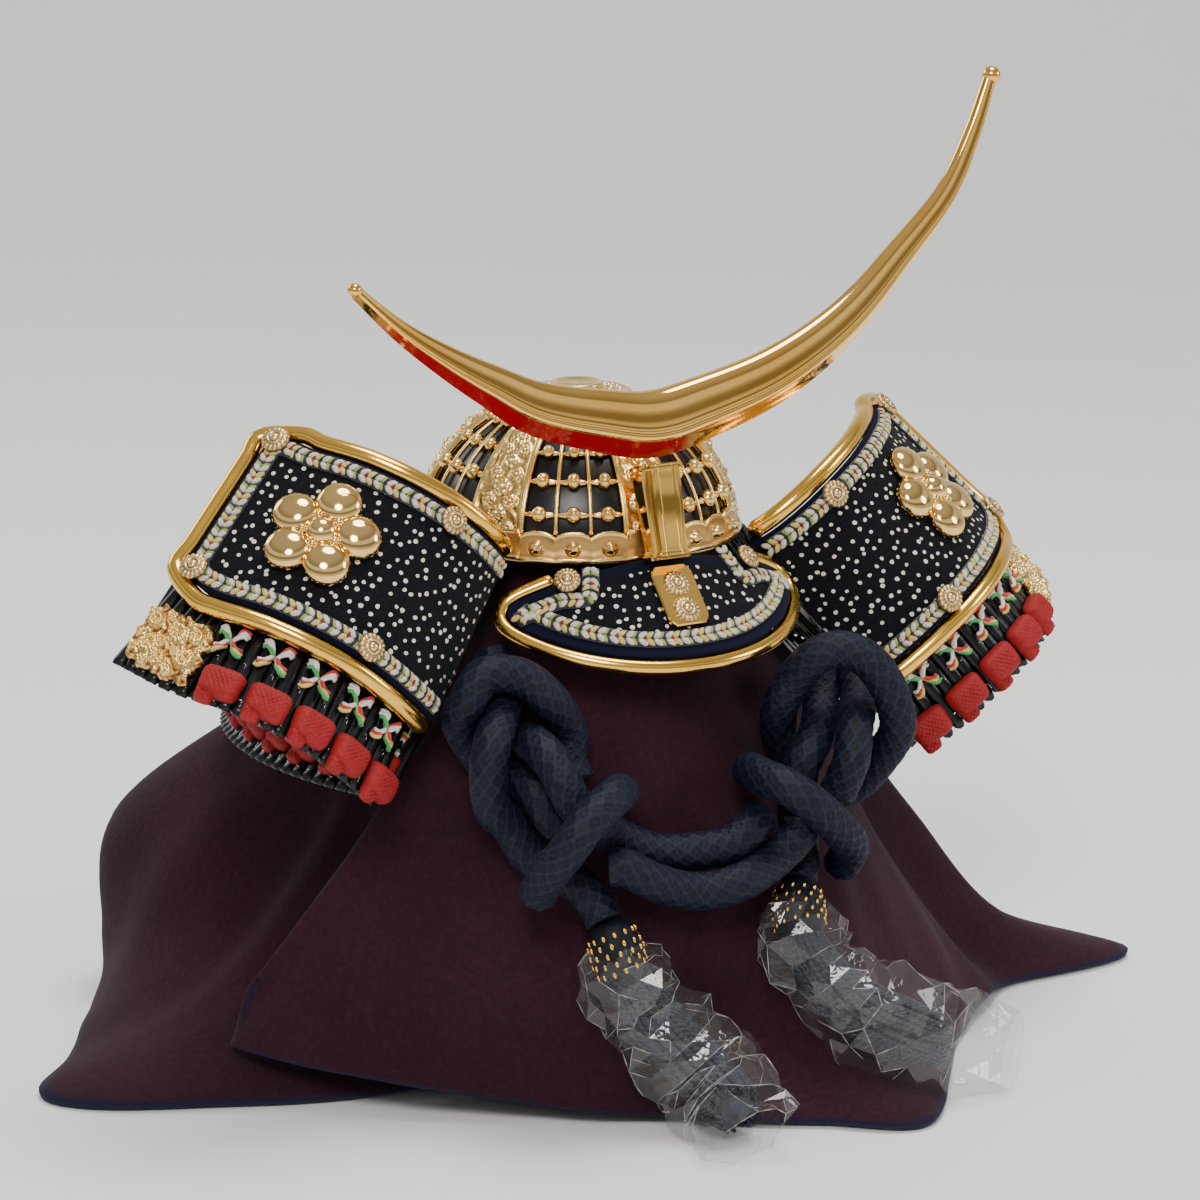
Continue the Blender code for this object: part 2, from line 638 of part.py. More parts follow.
def make_crest(seat, holder_rise):
    lean = math.radians(crest_lean)
    up = np.array([0, math.sin(lean), math.cos(lean)])
    out = np.array([0, -math.cos(lean), math.sin(lean)])
    middle = seat + up * (crest_width / 2 + gap) + out * 1.4 * mm
    left = horn_stations(short_horn, -1)[1:][::-1]
    right = horn_stations(long_horn, 1)
    stations = left + right
    places = np.array([middle + np.array([x, 0, 0]) + up * z for x, z, width in stations])
    sections = []
    for i, (x, z, width) in enumerate(stations):
        along = places[min(i + 1, len(places) - 1)] - places[max(i - 1, 0)]
        along /= np.linalg.norm(along)
        across = np.cross(out, along)
        across *= np.sign(across @ up)
        thickness = crest_thickness * (0.3 + 0.7 * width / crest_width)
        sections.append([places[i] + across * share * width + out * deep * thickness
                         for share, deep in crest_section])
    for end, ends in ((0, -1), (-1, 1)):
        near, far = (places[1], places[0]) if ends < 0 else (places[-2], places[-1])
        along = (far - near) / np.linalg.norm(far - near)
        across = np.cross(out, along)
        across *= np.sign(across @ up)
        radius = crest_tip_radius * (1 if ends > 0 else 0.75)
        ball = []
        for polar_angle in (50, 90, 130, 160):
            turn = math.radians(polar_angle)
            centre = far + along * radius * (0.6 - math.cos(turn))
            size = radius * math.sin(turn)
            ball.append([centre + size * (across * math.cos(a) + out * math.sin(a))
                         for a in (math.atan2(deep, share) for share, deep in crest_section)])
        sections = ball[::-1] + sections if ends < 0 else sections + ball
    crest = loft("crest", sections, polished_gold)
    bpy.ops.mesh.primitive_cube_add(size=1)
    tang = bpy.context.object
    tang.name = "tang_shape"
    tang_rise = tang_length + crest_width * 0.4
    tang.scale = (tang_width, tang_thickness, tang_rise)
    tang.rotation_euler = (-math.radians(holder_lean), 0, 0)
    centre = seat + holder_rise * (tang_rise / 2 - tang_length + gap)
    tang.location = centre
    for home in list(tang.users_collection):
        home.objects.unlink(tang)
    cutters.objects.link(tang)
    tang.hide_render = True
    tang.display_type = "WIRE"
    joint = crest.modifiers.new("tang", "BOOLEAN")
    joint.operation = "UNION"
    joint.solver = "EXACT"
    joint.object = tang


def guard_place(angle, distance, inward=0.0):
    """A point of the neck guard's cone, down its slope from the bowl's band."""
    radius = guard_top_radius + distance * guard_out - inward * guard_down
    return polar(radius, angle, guard_top_z - distance * guard_down - inward * guard_out)


def make_neck_guard(group):
    start = 0.0
    first = guard_front_angle + guard_end_angle
    angles = np.linspace(first, 360 - first, 31)
    for i in range(lame_count):
        end = guard_height * (i + 1) / lame_count
        tuck = (lame_wall + lame_step) if i else 0.0
        rows = [[guard_place(angle, start, tuck) for angle in angles],
                [guard_place(angle, end, 0) for angle in angles]]
        mesh = grid_mesh("neck_lame", rows)
        sheet(f"neck_lame_{i + 1}", mesh, lame_wall, black_lacquer, group)
        start = end - lame_overlap


def flap_place(side, across, down, depth=0.0):
    """Point and outward normal of a turned-out flap: across its profile, down its height."""
    def profile(share):
        out, forward, rise = table_curve(flap_profile, share)
        return np.array([out * flap_reach, -forward * flap_sweep, rise * flap_rise])

    def way_down(share):
        own = min(max(share / flap_blend, 0.0), 1.0)
        own *= own * (3 - 2 * own)
        way = guard_way * (1 - own) + flap_way * own
        return way / np.linalg.norm(way)

    def surface(share):
        return profile(share) + way_down(share) * down * flap_height

    step = 0.01
    normal = np.cross(way_down(across), surface(across + step) - surface(across - step))
    normal /= np.linalg.norm(normal)
    point = guard_place(guard_front_angle, 0) + surface(across) - normal * depth
    mirror = np.array([side, 1, 1])
    return point * mirror, normal * mirror


def flap_sheet(name, side, acrosses, downs, trims, depth, wall, finish, group):
    rows = [[flap_place(side, across * trim, down, depth)[0] for across in acrosses]
            for down, trim in zip(downs, trims)]
    if side > 0:
        rows = rows[::-1]
    return sheet(name, grid_mesh(name, rows), wall, finish, group)


def make_flap(side, word, group):
    end_step = flap_place(side, 1.0, 0)[0] - flap_place(side, 0.9, 0)[0]
    end_scale = np.linalg.norm(end_step) / 0.1
    acrosses = np.concatenate([np.linspace(0, 0.4, 11), np.linspace(0.46, 1, 10)])
    flap_sheet(f"flap_{word}", side, acrosses, (0, 0.11, 0.36, 0.64, 0.89, 1),
               (0.91, 1, 1, 1, 1, 0.91), 0, flap_wall, black_cloth, group)

    def beside(across, share, step):
        """A point of the rim's path, square to the flap's edge that runs along step."""
        point, normal = flap_place(side, across, share, flap_wall / 2)
        along = flap_place(side, across + step[0], share + step[1])[0]
        outwards = np.cross(normal, along - flap_place(side, across - step[0], share - step[1])[0])
        outwards *= np.sign(outwards @ (point - flap_place(side, 0.6, 0.5)[0]))
        return point + outwards / np.linalg.norm(outwards) * (flap_rim_radius + gap)

    top = [beside(across, 0, (0.01, 0)) for across in np.linspace(0.1, 0.93, 14)]
    foot = [beside(across, 1, (0.01, 0)) for across in np.linspace(0.16, 0.93, 13)]
    outer = [beside(1, share, (0, 0.01)) for share in np.linspace(0.05, 0.95, 7)]
    tube(f"flap_rim_{word}", smooth_path(top + outer + foot[::-1], rim_spacing), flap_rim_radius,
         gilt, group)

    inside = flap_margin / flap_height
    across_in = 1 - flap_margin / end_scale
    acrosses = np.linspace(0.17, across_in - 0.02, 13)
    route = [(across, inside) for across in acrosses]
    route += [(across_in, share) for share in np.linspace(inside + 0.03, 0.97 - inside, 4)]
    route += [(across, 1 - inside) for across in acrosses[::-1]]

    def face(across, share):
        return flap_place(side, across, share)

    ribbon(f"flap_braid_{word}", face, route, braid_width, braid_height, braid, group)
    places = ((across_in, inside), (0.46, inside), (across_in, 1 - inside), (0.47, 1 - inside))
    for number, (across, share) in enumerate(places, 1):
        point, normal = face(across, share)
        rivet(f"flap_rivet_{word}_{number}", point, normal, pale_gilt, group)
    make_plum(side, word, group)
    make_lower_lame(side, word, group, end_scale)


def make_plum(side, word, group):
    """Five domed petals round a heart, raised on the flap and fused."""
    centre_across, centre_down = 0.725, 0.48
    point, normal = flap_place(side, centre_across, centre_down)
    ahead = flap_place(side, centre_across + 0.02, centre_down)[0] - point
    ahead /= np.linalg.norm(ahead)
    below = np.cross(normal, ahead)
    domes = []
    for i in range(6):
        turn = math.radians(90 + 72 * i)
        circle = plum_petal_circle if i < 5 else 0
        radius = plum_petal_radius if i < 5 else plum_heart_radius
        height = plum_petal_height if i < 5 else plum_heart_height
        spot = point + circle * (ahead * math.cos(turn) + below * math.sin(turn))
        sag = 0.5 * circle ** 2 * math.cos(turn) ** 2 / (36 * mm)
        profile = dome_profile(radius, height, 4)
        profile = [(r, h + 0.8 * mm) for r, h in profile] + [(radius, 0), (0, 0)]
        profile[0] = (0, profile[0][1])
        name = f"plum_{word}" if i == 0 else f"plum_{word}_part_{i}"
        dome = turned(name, profile, polished_gold, 12, group)
        lean = normal + ahead * circle * math.cos(turn) / (36 * mm) * 0.9
        lean /= np.linalg.norm(lean)
        set_on(dome, spot + normal * (gap + 0.25 * mm - sag), lean, group)
        domes.append(dome)
    for other in domes[1:]:
        model.objects.unlink(other)
        cutters.objects.link(other)
        other.hide_render = True
        other.display_type = "WIRE"
        joint = domes[0].modifiers.new("petal", "BOOLEAN")
        joint.operation = "UNION"
        joint.solver = "EXACT"
        joint.object = other


def make_lower_lame(side, word, group, end_scale):
    """The laced row of slats under a flap, with its red and mixed lacing and corner fitting."""
    over = slat_overhang / end_scale
    low = 1 + lower_lame_height / flap_height
    acrosses = np.concatenate([np.linspace(0.14, 0.4, 7), np.linspace(0.46, 1 + over, 9)])
    flap_sheet(f"slat_lame_{word}", side, acrosses, np.linspace(0.97, low, 4), (1, 1, 1, 1),
               slat_setback, lame_wall, black_lacquer, group)

    def face(across, share):
        return flap_place(side, across, share, slat_setback)

    def row(start, end, drop, count):
        return [(across, 1 + drop / flap_height) for across in np.linspace(start, end, count)]

    def swell(share):
        return 0.3 + 0.7 * abs(math.sin(share * red_lace_blocks * math.pi)) ** 0.6

    last = 1 + over - fitting_length / end_scale
    lace_end = last - lace_clearance / end_scale
    ribbon(f"cross_lacing_{word}", face, row(0.2, lace_end, cross_lace_drop, 14),
           cross_lace_width, cross_lace_height, braid, group)
    ribbon(f"red_lacing_{word}", face,
           row(0.2, lace_end, red_lace_drop, 4 * red_lace_blocks + 1),
           red_lace_width, red_lace_height, red_silk, group, swell=swell)
    ribbon(f"corner_fitting_{word}", face, row(last, 1 + over, fitting_drop, 5), fitting_height,
           fitting_wall, gilt, group)


def make_stand():
    """A plain foot, post and rounded head that carry the helmet under its cloth."""
    profile = [(radius, head_base_z + height) for radius, height in dome_profile(head_radius, head_height, 5)]
    profile[0] = (0, profile[0][1])
    profile += [(head_radius * 0.93, head_base_z - head_edge), (post_radius, head_base_z - head_neck),
                (post_radius, foot_height), (foot_radius - foot_chamfer, foot_height),
                (foot_radius, foot_height - foot_chamfer), (foot_radius, 0), (0, 0)]
    turned("stand", profile, pale_wood, stand_sides)


def cloth_fold(place):
    """The fold table read smoothly round the sheet, at a place counted in folds."""
    count = len(cloth_folds)
    i = math.floor(place)
    t = place - i
    picked = []
    for step in (-1, 0, 1, 2):
        turns, row = divmod(i + step, count)
        values = list(cloth_folds[row])
        values[0] += 360 * turns
        values[1] += 360 * turns
        picked.append(np.array(values))
    before, here, there, after = picked
    return 0.5 * (2 * here + (there - before) * t
                  + (2 * before - 5 * here + 4 * there - after) * t ** 2
                  + (3 * here - before - 3 * there + after) * t ** 3)


def cloth_point(place, drop):
    """A point of the cloth: round its folds, and down from the stand's head (0) to the hem (1)."""
    fold = cloth_fold(place)
    crown = cloth_levels[0] * bowl_base_z
    levels = [(head_radius + cloth_gap, head_base_z)]
    levels += [(fold[column] * cloth_reach, height * bowl_base_z)
               for column, height in enumerate(cloth_levels, first_level_column)]
    radius, height = table_curve(levels, drop)
    hem = cloth_wall + gap + fold[7] * cloth_reach
    height = hem + height * (1 - hem / crown)
    angle = fold[0] + (fold[1] - fold[0]) * min(1.0, max(0.0, (drop - 0.2) / 0.6))
    return polar(radius, angle, height)


def make_cloth():
    columns = [i / 2 for i in range(2 * len(cloth_folds))]
    rows = []
    for turn in cap_turns:
        angle = math.radians(turn)
        radius = (head_radius + cloth_gap) * math.sin(angle)
        height = head_base_z + (head_height + cloth_gap) * math.cos(angle)
        rows.append([polar(radius, cloth_fold(place)[0], height) for place in columns])
    for drop in cloth_drops:
        rows.append([cloth_point(place, drop) for place in columns])
    mesh = grid_mesh("cloth", rows, closed_across=True)
    work = bmesh.new()
    work.from_mesh(mesh)
    work.verts.ensure_lookup_table()
    work.faces.new(work.verts[:len(columns)])
    bmesh.ops.recalc_face_normals(work, faces=work.faces)
    if max(work.faces, key=lambda face: face.calc_center_median().z).normal.z < 0:
        bmesh.ops.reverse_faces(work, faces=work.faces)
    work.to_mesh(mesh)
    work.free()
    item = sheet("cloth", mesh, cloth_wall, plum_crepe)
    item.modifiers["wall"].use_even_offset = False


def make_cords():
    for name, route in cord_routes.items():
        tube(name, smooth_path(np.array(route) * mm, cord_radius * 1.7), cord_radius, navy_silk)


def make_tassel(name, route):
    path = smooth_path(np.array(route) * mm, 0.5 * mm)
    sides = 16
    along = np.linspace(0, 1, len(path))
    side = np.array([1.0, 0, 0])
    sections = []
    for share, size, locks in tassel_profile:
        i = min(int(share * (len(path) - 1)), len(path) - 2)
        centre = np.array([np.interp(share, along, path[:, k]) for k in range(3)])
        ahead = path[i + 1] - path[max(i - 1, 0)]
        ahead /= np.linalg.norm(ahead)
        side = side - ahead * (side @ ahead)
        side /= np.linalg.norm(side)
        other = np.cross(ahead, side)
        ring = []
        for k in range(sides):
            turn = 2 * math.pi * k / sides
            radius = tassel_radius * size * (1 + locks * (-1) ** k)
            ring.append(centre + radius * (side * math.cos(turn) + other * math.sin(turn)))
        sections.append(ring)
    loft(name, sections, navy_silk)


def build():
    make_bowl()
    make_rib_cage()
    make_base_band()
    make_finial()
    make_peak()
    make_peak_trim()
    seat, rise = make_holder()
    make_crest(seat, rise)
    group = tilted_group("guard_and_flaps", guard_roll)
    make_neck_guard(group)
    make_flap(-1, "left", group)
    make_flap(1, "right", group)
    make_stand()
    make_cloth()
    make_cords()
    for name, route in tassel_routes.items():
        make_tassel(name, route)


model = start_scene()
cutters = bpy.data.collections.new("cutters")
bpy.context.scene.collection.children.link(cutters)
gilt = material("gilt", (0.83, 0.6, 0.22), 0.25, 1.0)
pale_gilt = material("pale_gilt", (0.86, 0.72, 0.42), 0.35, 1.0)
polished_gold = material("polished_gold", (0.9, 0.62, 0.2), 0.08, 1.0)
black_lacquer = material("black_lacquer", (0.01, 0.01, 0.012), 0.2)
black_cloth = material("black_cloth", (0.012, 0.012, 0.016), 0.9)
braid = material("braid", (0.75, 0.7, 0.55), 0.8)
red_silk = material("red_silk", (0.6, 0.01, 0.02), 0.7)
navy_silk = material("navy_silk", (0.012, 0.016, 0.04), 0.75)
pale_wood = material("pale_wood", (0.7, 0.55, 0.36), 0.5)
plum_crepe = material("plum_crepe", (0.07, 0.02, 0.04), 0.9)
build()
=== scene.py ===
import math
import random
import bpy
import bmesh
import numpy as np
from mathutils import Matrix, Vector


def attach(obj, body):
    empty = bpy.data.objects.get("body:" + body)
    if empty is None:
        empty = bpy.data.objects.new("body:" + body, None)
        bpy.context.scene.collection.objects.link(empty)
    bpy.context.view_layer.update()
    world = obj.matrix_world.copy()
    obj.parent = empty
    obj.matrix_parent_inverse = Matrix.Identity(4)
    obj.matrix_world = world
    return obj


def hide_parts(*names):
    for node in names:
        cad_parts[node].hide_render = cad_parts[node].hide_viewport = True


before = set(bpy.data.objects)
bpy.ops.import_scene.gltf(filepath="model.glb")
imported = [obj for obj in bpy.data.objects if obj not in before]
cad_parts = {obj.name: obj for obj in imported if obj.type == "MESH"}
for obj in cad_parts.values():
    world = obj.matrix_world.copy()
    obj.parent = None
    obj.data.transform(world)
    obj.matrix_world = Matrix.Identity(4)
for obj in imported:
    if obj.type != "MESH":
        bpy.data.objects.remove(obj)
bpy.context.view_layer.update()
mm = 0.001


# Points, tables and paths

def polar(radius, angle, height):
    turn = math.radians(angle)
    return np.array([radius * math.sin(turn), -radius * math.cos(turn), height])


def unit(vector):
    return vector / np.linalg.norm(vector)


def readTable(rows, share):
    rows = np.asarray(rows, float)
    last = len(rows) - 1
    place = share * last
    i = int(min(max(math.floor(place), 0), last - 1))
    t = place - i
    before = rows[i - 1] if i > 0 else 2 * rows[0] - rows[1]
    after = rows[i + 2] if i + 2 <= last else 2 * rows[last] - rows[last - 1]
    here, there = rows[i], rows[i + 1]
    if t > 1:
        return there + (t - 1) * (there - here)
    return 0.5 * (2 * here + (there - before) * t + (2 * before - 5 * here + 4 * there - after) * t ** 2
                  + (3 * here - before - 3 * there + after) * t ** 3)


def smoothPath(route, spacing):
    route = np.array(route, float)
    ends = np.vstack([2 * route[0] - route[1], route, 2 * route[-1] - route[-2]])
    fine = []
    for a, b, c, d in zip(ends, ends[1:], ends[2:], ends[3:]):
        for t in np.linspace(0, 1, 24, endpoint=False):
            fine.append(0.5 * (2 * b + (c - a) * t + (2 * a - 5 * b + 4 * c - d) * t ** 2
                               + (3 * b - a - 3 * c + d) * t ** 3))
    return evenPath(np.array(fine + [route[-1]]), spacing)


def lengthsAlong(path):
    return np.concatenate([[0], np.cumsum(np.linalg.norm(np.diff(path, axis=0), axis=1))])


def evenPath(fine, spacing):
    along = lengthsAlong(fine)
    places = np.linspace(0, along[-1], max(2, round(along[-1] / spacing) + 1))
    return np.stack([np.interp(places, along, fine[:, k]) for k in range(fine.shape[1])], axis=1)


def pathFrames(path):
    ahead = np.gradient(path, axis=0)
    ahead /= np.linalg.norm(ahead, axis=1)[:, None]
    side = np.cross(ahead[0], [0, 0, 1.0])
    if np.linalg.norm(side) < 0.1:
        side = np.cross(ahead[0], [1.0, 0, 0])
    sides = []
    for way in ahead:
        side = unit(side - way * (side @ way))
        sides.append(side)
    sides = np.array(sides)
    return ahead, sides, np.cross(ahead, sides)


# Meshes and pieces

def addPiece(name, mesh, finish, instead=()):
    piece = bpy.data.objects.new(name, mesh)
    bpy.context.scene.collection.objects.link(piece)
    if finish is not None:
        mesh.materials.clear()
        mesh.materials.append(finish)
    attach(piece, "root")
    if instead:
        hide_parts(*([instead] if isinstance(instead, str) else instead))
    return piece


def gridMesh(name, points, uv=None, closedAcross=False, smooth=True, capped=False):
    points = np.asarray(points, float)
    rows, across = points.shape[:2]
    mesh = bpy.data.meshes.new(name)
    span = across if closedAcross else across - 1
    faces, corners = [], []
    for r in range(rows - 1):
        for c in range(span):
            d = (c + 1) % across
            faces.append((r * across + c, r * across + d, (r + 1) * across + d, (r + 1) * across + c))
            corners.append(((r, c), (r, c + 1), (r + 1, c + 1), (r + 1, c)))
    if capped:
        faces.append(tuple(range(across))[::-1])
        faces.append(tuple((rows - 1) * across + c for c in range(across)))
        corners.append(tuple((0, c) for c in range(across))[::-1])
        corners.append(tuple((rows - 1, c) for c in range(across)))
    mesh.from_pydata(points.reshape(-1, 3).tolist(), [], faces)
    if uv is not None:
        layer = mesh.uv_layers.new(name="UVMap")
        flat = [uv(r, c) for face in corners for r, c in face]
        layer.data.foreach_set("uv", np.array(flat, np.float32).ravel())
    if smooth:
        mesh.shade_smooth()
    return mesh


def setAttribute(mesh, name, values):
    layer = mesh.attributes.new(name, "FLOAT", "POINT")
    layer.data.foreach_set("value", np.asarray(values, np.float32).ravel())


def facesOut(mesh, mergeBelow=1e-6):
    work = bmesh.new()
    work.from_mesh(mesh)
    if mergeBelow:
        bmesh.ops.remove_doubles(work, verts=work.verts, dist=mergeBelow)
    bmesh.ops.recalc_face_normals(work, faces=work.faces)
    work.to_mesh(mesh)
    work.free()
    return mesh


def plainMesh(source, name):
    bpy.context.view_layer.update()
    graph = bpy.context.evaluated_depsgraph_get()
    mesh = bpy.data.meshes.new_from_object(source.evaluated_get(graph))
    mesh.name = name
    bpy.data.objects.remove(source, do_unlink=True)
    return mesh


def walled(mesh, name, wall, offset=-1.0):
    rough = bpy.data.objects.new(name + "Rough", mesh)
    bpy.context.scene.collection.objects.link(rough)
    solid = rough.modifiers.new("wall", "SOLIDIFY")
    solid.thickness = wall
    solid.offset = offset
    made = plainMesh(rough, name)
    made.shade_smooth()
    return made


def tubeMesh(name, path, radii, sides, relief=None, tint=None):
    path = np.asarray(path, float)
    side, other = pathFrames(path)[1:]
    radii = np.broadcast_to(np.asarray(radii, float), (len(path),))
    turns = np.linspace(0, 2 * math.pi, sides, endpoint=False)
    along = lengthsAlong(path)
    rings = []
    for i, centre in enumerate(path):
        grown = radii[i] + (relief(along[i], turns) if relief else 0 * turns)
        rings.append(centre + grown[:, None] * (np.cos(turns)[:, None] * side[i]
                                                + np.sin(turns)[:, None] * other[i]))
    mesh = gridMesh(name, rings, lambda r, c: (c / sides, along[r]), closedAcross=True, capped=True)
    if tint is not None:
        setAttribute(mesh, "tint", np.repeat(tint(along), sides))
    return mesh


def placed(mesh, stretch=(1, 1, 1), shift=(0, 0, 0)):
    mesh.transform(Matrix.Diagonal((*stretch, 1)))
    mesh.transform(Matrix.Translation(shift))
    return mesh


def joined(meshes, name):
    work = bmesh.new()
    for mesh in meshes:
        work.from_mesh(mesh)
    made = bpy.data.meshes.new(name)
    work.to_mesh(made)
    work.free()
    for mesh in meshes:
        bpy.data.meshes.remove(mesh)
    return made


# Materials

def newFinish(name, colour=(0.8, 0.8, 0.8), rough=0.5, metal=0.0, **sockets):
    finish = bpy.data.materials.new(name)
    finish.use_nodes = True
    tree = finish.node_tree
    shader = tree.nodes["Principled BSDF"]
    shader.inputs["Base Color"].default_value = (*colour, 1)
    shader.inputs["Roughness"].default_value = rough
    shader.inputs["Metallic"].default_value = metal
    for socket, value in sockets.items():
        shader.inputs[socket.replace("_", " ")].default_value = value
    return finish, tree, shader


def addNode(tree, kind, inputs=(), **settings):
    node = tree.nodes.new(kind)
    for name, value in settings.items():
        setattr(node, name, value)
    for key, value in dict(inputs).items():
        if isinstance(value, bpy.types.NodeSocket):
            tree.links.new(value, node.inputs[key])
        else:
            node.inputs[key].default_value = value
    return node


def ramp(tree, fac, stops, interpolation="LINEAR"):
    node = addNode(tree, "ShaderNodeValToRGB", {"Fac": fac})
    node.color_ramp.interpolation = interpolation
    while len(node.color_ramp.elements) < len(stops):
        node.color_ramp.elements.new(0.5)
    for element, (place, colour) in zip(node.color_ramp.elements, stops):
        element.position = place
        element.color = (*colour, 1) if len(colour) == 3 else colour
    return node.outputs["Color"]


def doMath(tree, operation, a, b=0.0, c=0.0):
    node = addNode(tree, "ShaderNodeMath", operation=operation)
    for socket, value in zip(node.inputs, (a, b, c)):
        if isinstance(value, bpy.types.NodeSocket):
            tree.links.new(value, socket)
        else:
            socket.default_value = value
    return node.outputs[0]


def coords(tree, output="Object"):
    return addNode(tree, "ShaderNodeTexCoord").outputs[output]


def bumpInto(tree, shader, height, distance, strength=1.0):
    bump = addNode(tree, "ShaderNodeBump", {"Height": height, "Distance": distance, "Strength": strength})
    tree.links.new(bump.outputs["Normal"], shader.inputs["Normal"])
    return bump


def noise(tree, vector, scale, detail=3.0, roughness=0.5):
    return addNode(tree, "ShaderNodeTexNoise", {"Vector": vector, "Scale": scale, "Detail": detail,
                                                "Roughness": roughness})


def goldFinish(name, colour, dark, rough, grain, pits=0.0):
    finish, tree, shader = newFinish(name, colour, rough, 1.0)
    place = coords(tree)
    cloudy = noise(tree, place, 90, 4).outputs["Fac"]
    fine = noise(tree, place, 1400, 2).outputs["Fac"]
    tone = ramp(tree, cloudy, [(0.3, tuple(c * 0.86 for c in colour)), (0.7, colour)])
    if pits:
        # where the deep attribute marks hollows, the colour goes towards dark and the surface gets rougher
        deep = addNode(tree, "ShaderNodeAttribute", attribute_name="deep").outputs["Fac"]
        hollowDarkening = addNode(tree, "ShaderNodeMix", {"Factor": deep, 6: tone, 7: (*dark, 1)}, data_type="RGBA")
        tone = hollowDarkening.outputs[2]
        dull = doMath(tree, "MULTIPLY_ADD", deep, pits, rough)
        tree.links.new(dull, shader.inputs["Roughness"])
    else:
        worn = doMath(tree, "MULTIPLY_ADD", cloudy, rough * 0.8, rough * 0.6)
        tree.links.new(worn, shader.inputs["Roughness"])
    tree.links.new(tone, shader.inputs["Base Color"])
    bumpInto(tree, shader, fine, grain * mm, 0.5)
    return finish


# Camera, lights and floor

view = {"turn": -29, "lift": 14, "distance": 0.8, "lens": 124.8, "rise": 0.0836, "rightwards": 0.0044}


def setView():
    turn, lift = math.radians(view["turn"]), math.radians(view["lift"])
    back = Vector((math.sin(turn) * math.cos(lift), -math.cos(turn) * math.cos(lift), math.sin(lift)))
    right = Vector((math.cos(turn), math.sin(turn), 0))
    target = Vector((0, 0, view["rise"])) + right * view["rightwards"]
    camera = bpy.data.objects.new("camera", bpy.data.cameras.new("camera"))
    bpy.context.scene.collection.objects.link(camera)
    camera.data.sensor_width = 36
    camera.data.lens = view["lens"]
    camera.data.clip_start = 0.01
    up = back.cross(right)
    camera.matrix_world = Matrix.Translation(target + back * view["distance"]) @ Matrix(
        (right, up, back)).transposed().to_4x4()
    bpy.context.scene.camera = camera
    return back


studio = {
    "key": ((-0.5, -0.8, 0.85), 0.42, 8.0, (1.0, 0.98, 0.95)),
    "fill": ((0.95, -0.6, 0.5), 0.4, 3.2, (0.97, 0.98, 1.0)),
    "top": ((0.15, 0.0, 1.1), 0.5, 7.5, (1.0, 1.0, 1.0)),
    "rear": ((-0.4, 0.9, 0.6), 0.5, 2.5, (1.0, 1.0, 1.0)),
}


def lightUp():
    for name, (place, size, power, colour) in studio.items():
        lamp = bpy.data.lights.new(name, "AREA")
        lamp.shape = "DISK"
        lamp.size = size
        lamp.energy = power
        lamp.color = colour
        item = bpy.data.objects.new(name, lamp)
        item.location = place
        item.rotation_euler = (Vector((0, 0, 0.08)) - Vector(place)).to_track_quat("-Z", "Y").to_euler()
        bpy.context.scene.collection.objects.link(item)
    world = bpy.data.worlds.new("studio")
    world.use_nodes = True
    tree = world.node_tree
    way = addNode(tree, "ShaderNodeTexCoord").outputs["Generated"]
    height = addNode(tree, "ShaderNodeSeparateXYZ", {"Vector": way}).outputs["Z"]
    sky = ramp(tree, height, [(0.0, (0.85, 0.83, 0.8)), (0.08, (0.8, 0.79, 0.77)), (0.13, (0.26, 0.25, 0.24)),
                             (0.24, (0.3, 0.29, 0.28)), (0.36, (1, 1, 1)), (0.5, (0.95, 0.95, 0.95)),
                             (0.58, (0.3, 0.3, 0.3)), (0.8, (0.6, 0.6, 0.6))])
    tree.links.new(sky, tree.nodes["Background"].inputs["Color"])
    tree.nodes["Background"].inputs["Strength"].default_value = 0.8
    bpy.context.scene.world = world


def layFloor():
    size, sweepRadius, wallHeight = 3.0, 0.5, 1.6
    profile = [(-size, 0.0)] + [(0.9 + sweepRadius * math.sin(a), sweepRadius * (1 - math.cos(a)))
                                for a in np.linspace(0, math.pi / 2, 16)] + [(0.9 + sweepRadius, wallHeight)]
    finish = newFinish("paleFloor", (0.93, 0.925, 0.92), 0.6)[0]
    grid = [[(x, y, z) for x in (-size, size)] for y, z in profile]
    mesh = gridMesh("floor", grid)
    mesh.materials.append(finish)
    turn = Matrix.Rotation(math.radians(view["turn"]), 4, "Z")
    mesh.transform(turn)
    floor = bpy.data.objects.new("floor", mesh)
    bpy.context.scene.collection.objects.link(floor)


toCamera = setView()
lightUp()
layFloor()
print("camera, lights and floor are set")


# Cords: routes in millimetres, as they hang, cross and lie on the cloth

cordLook = {"radius": 3.45, "sides": 48, "spacing": 0.3, "weave": 0.2, "strands": 16, "twist": 6.6}

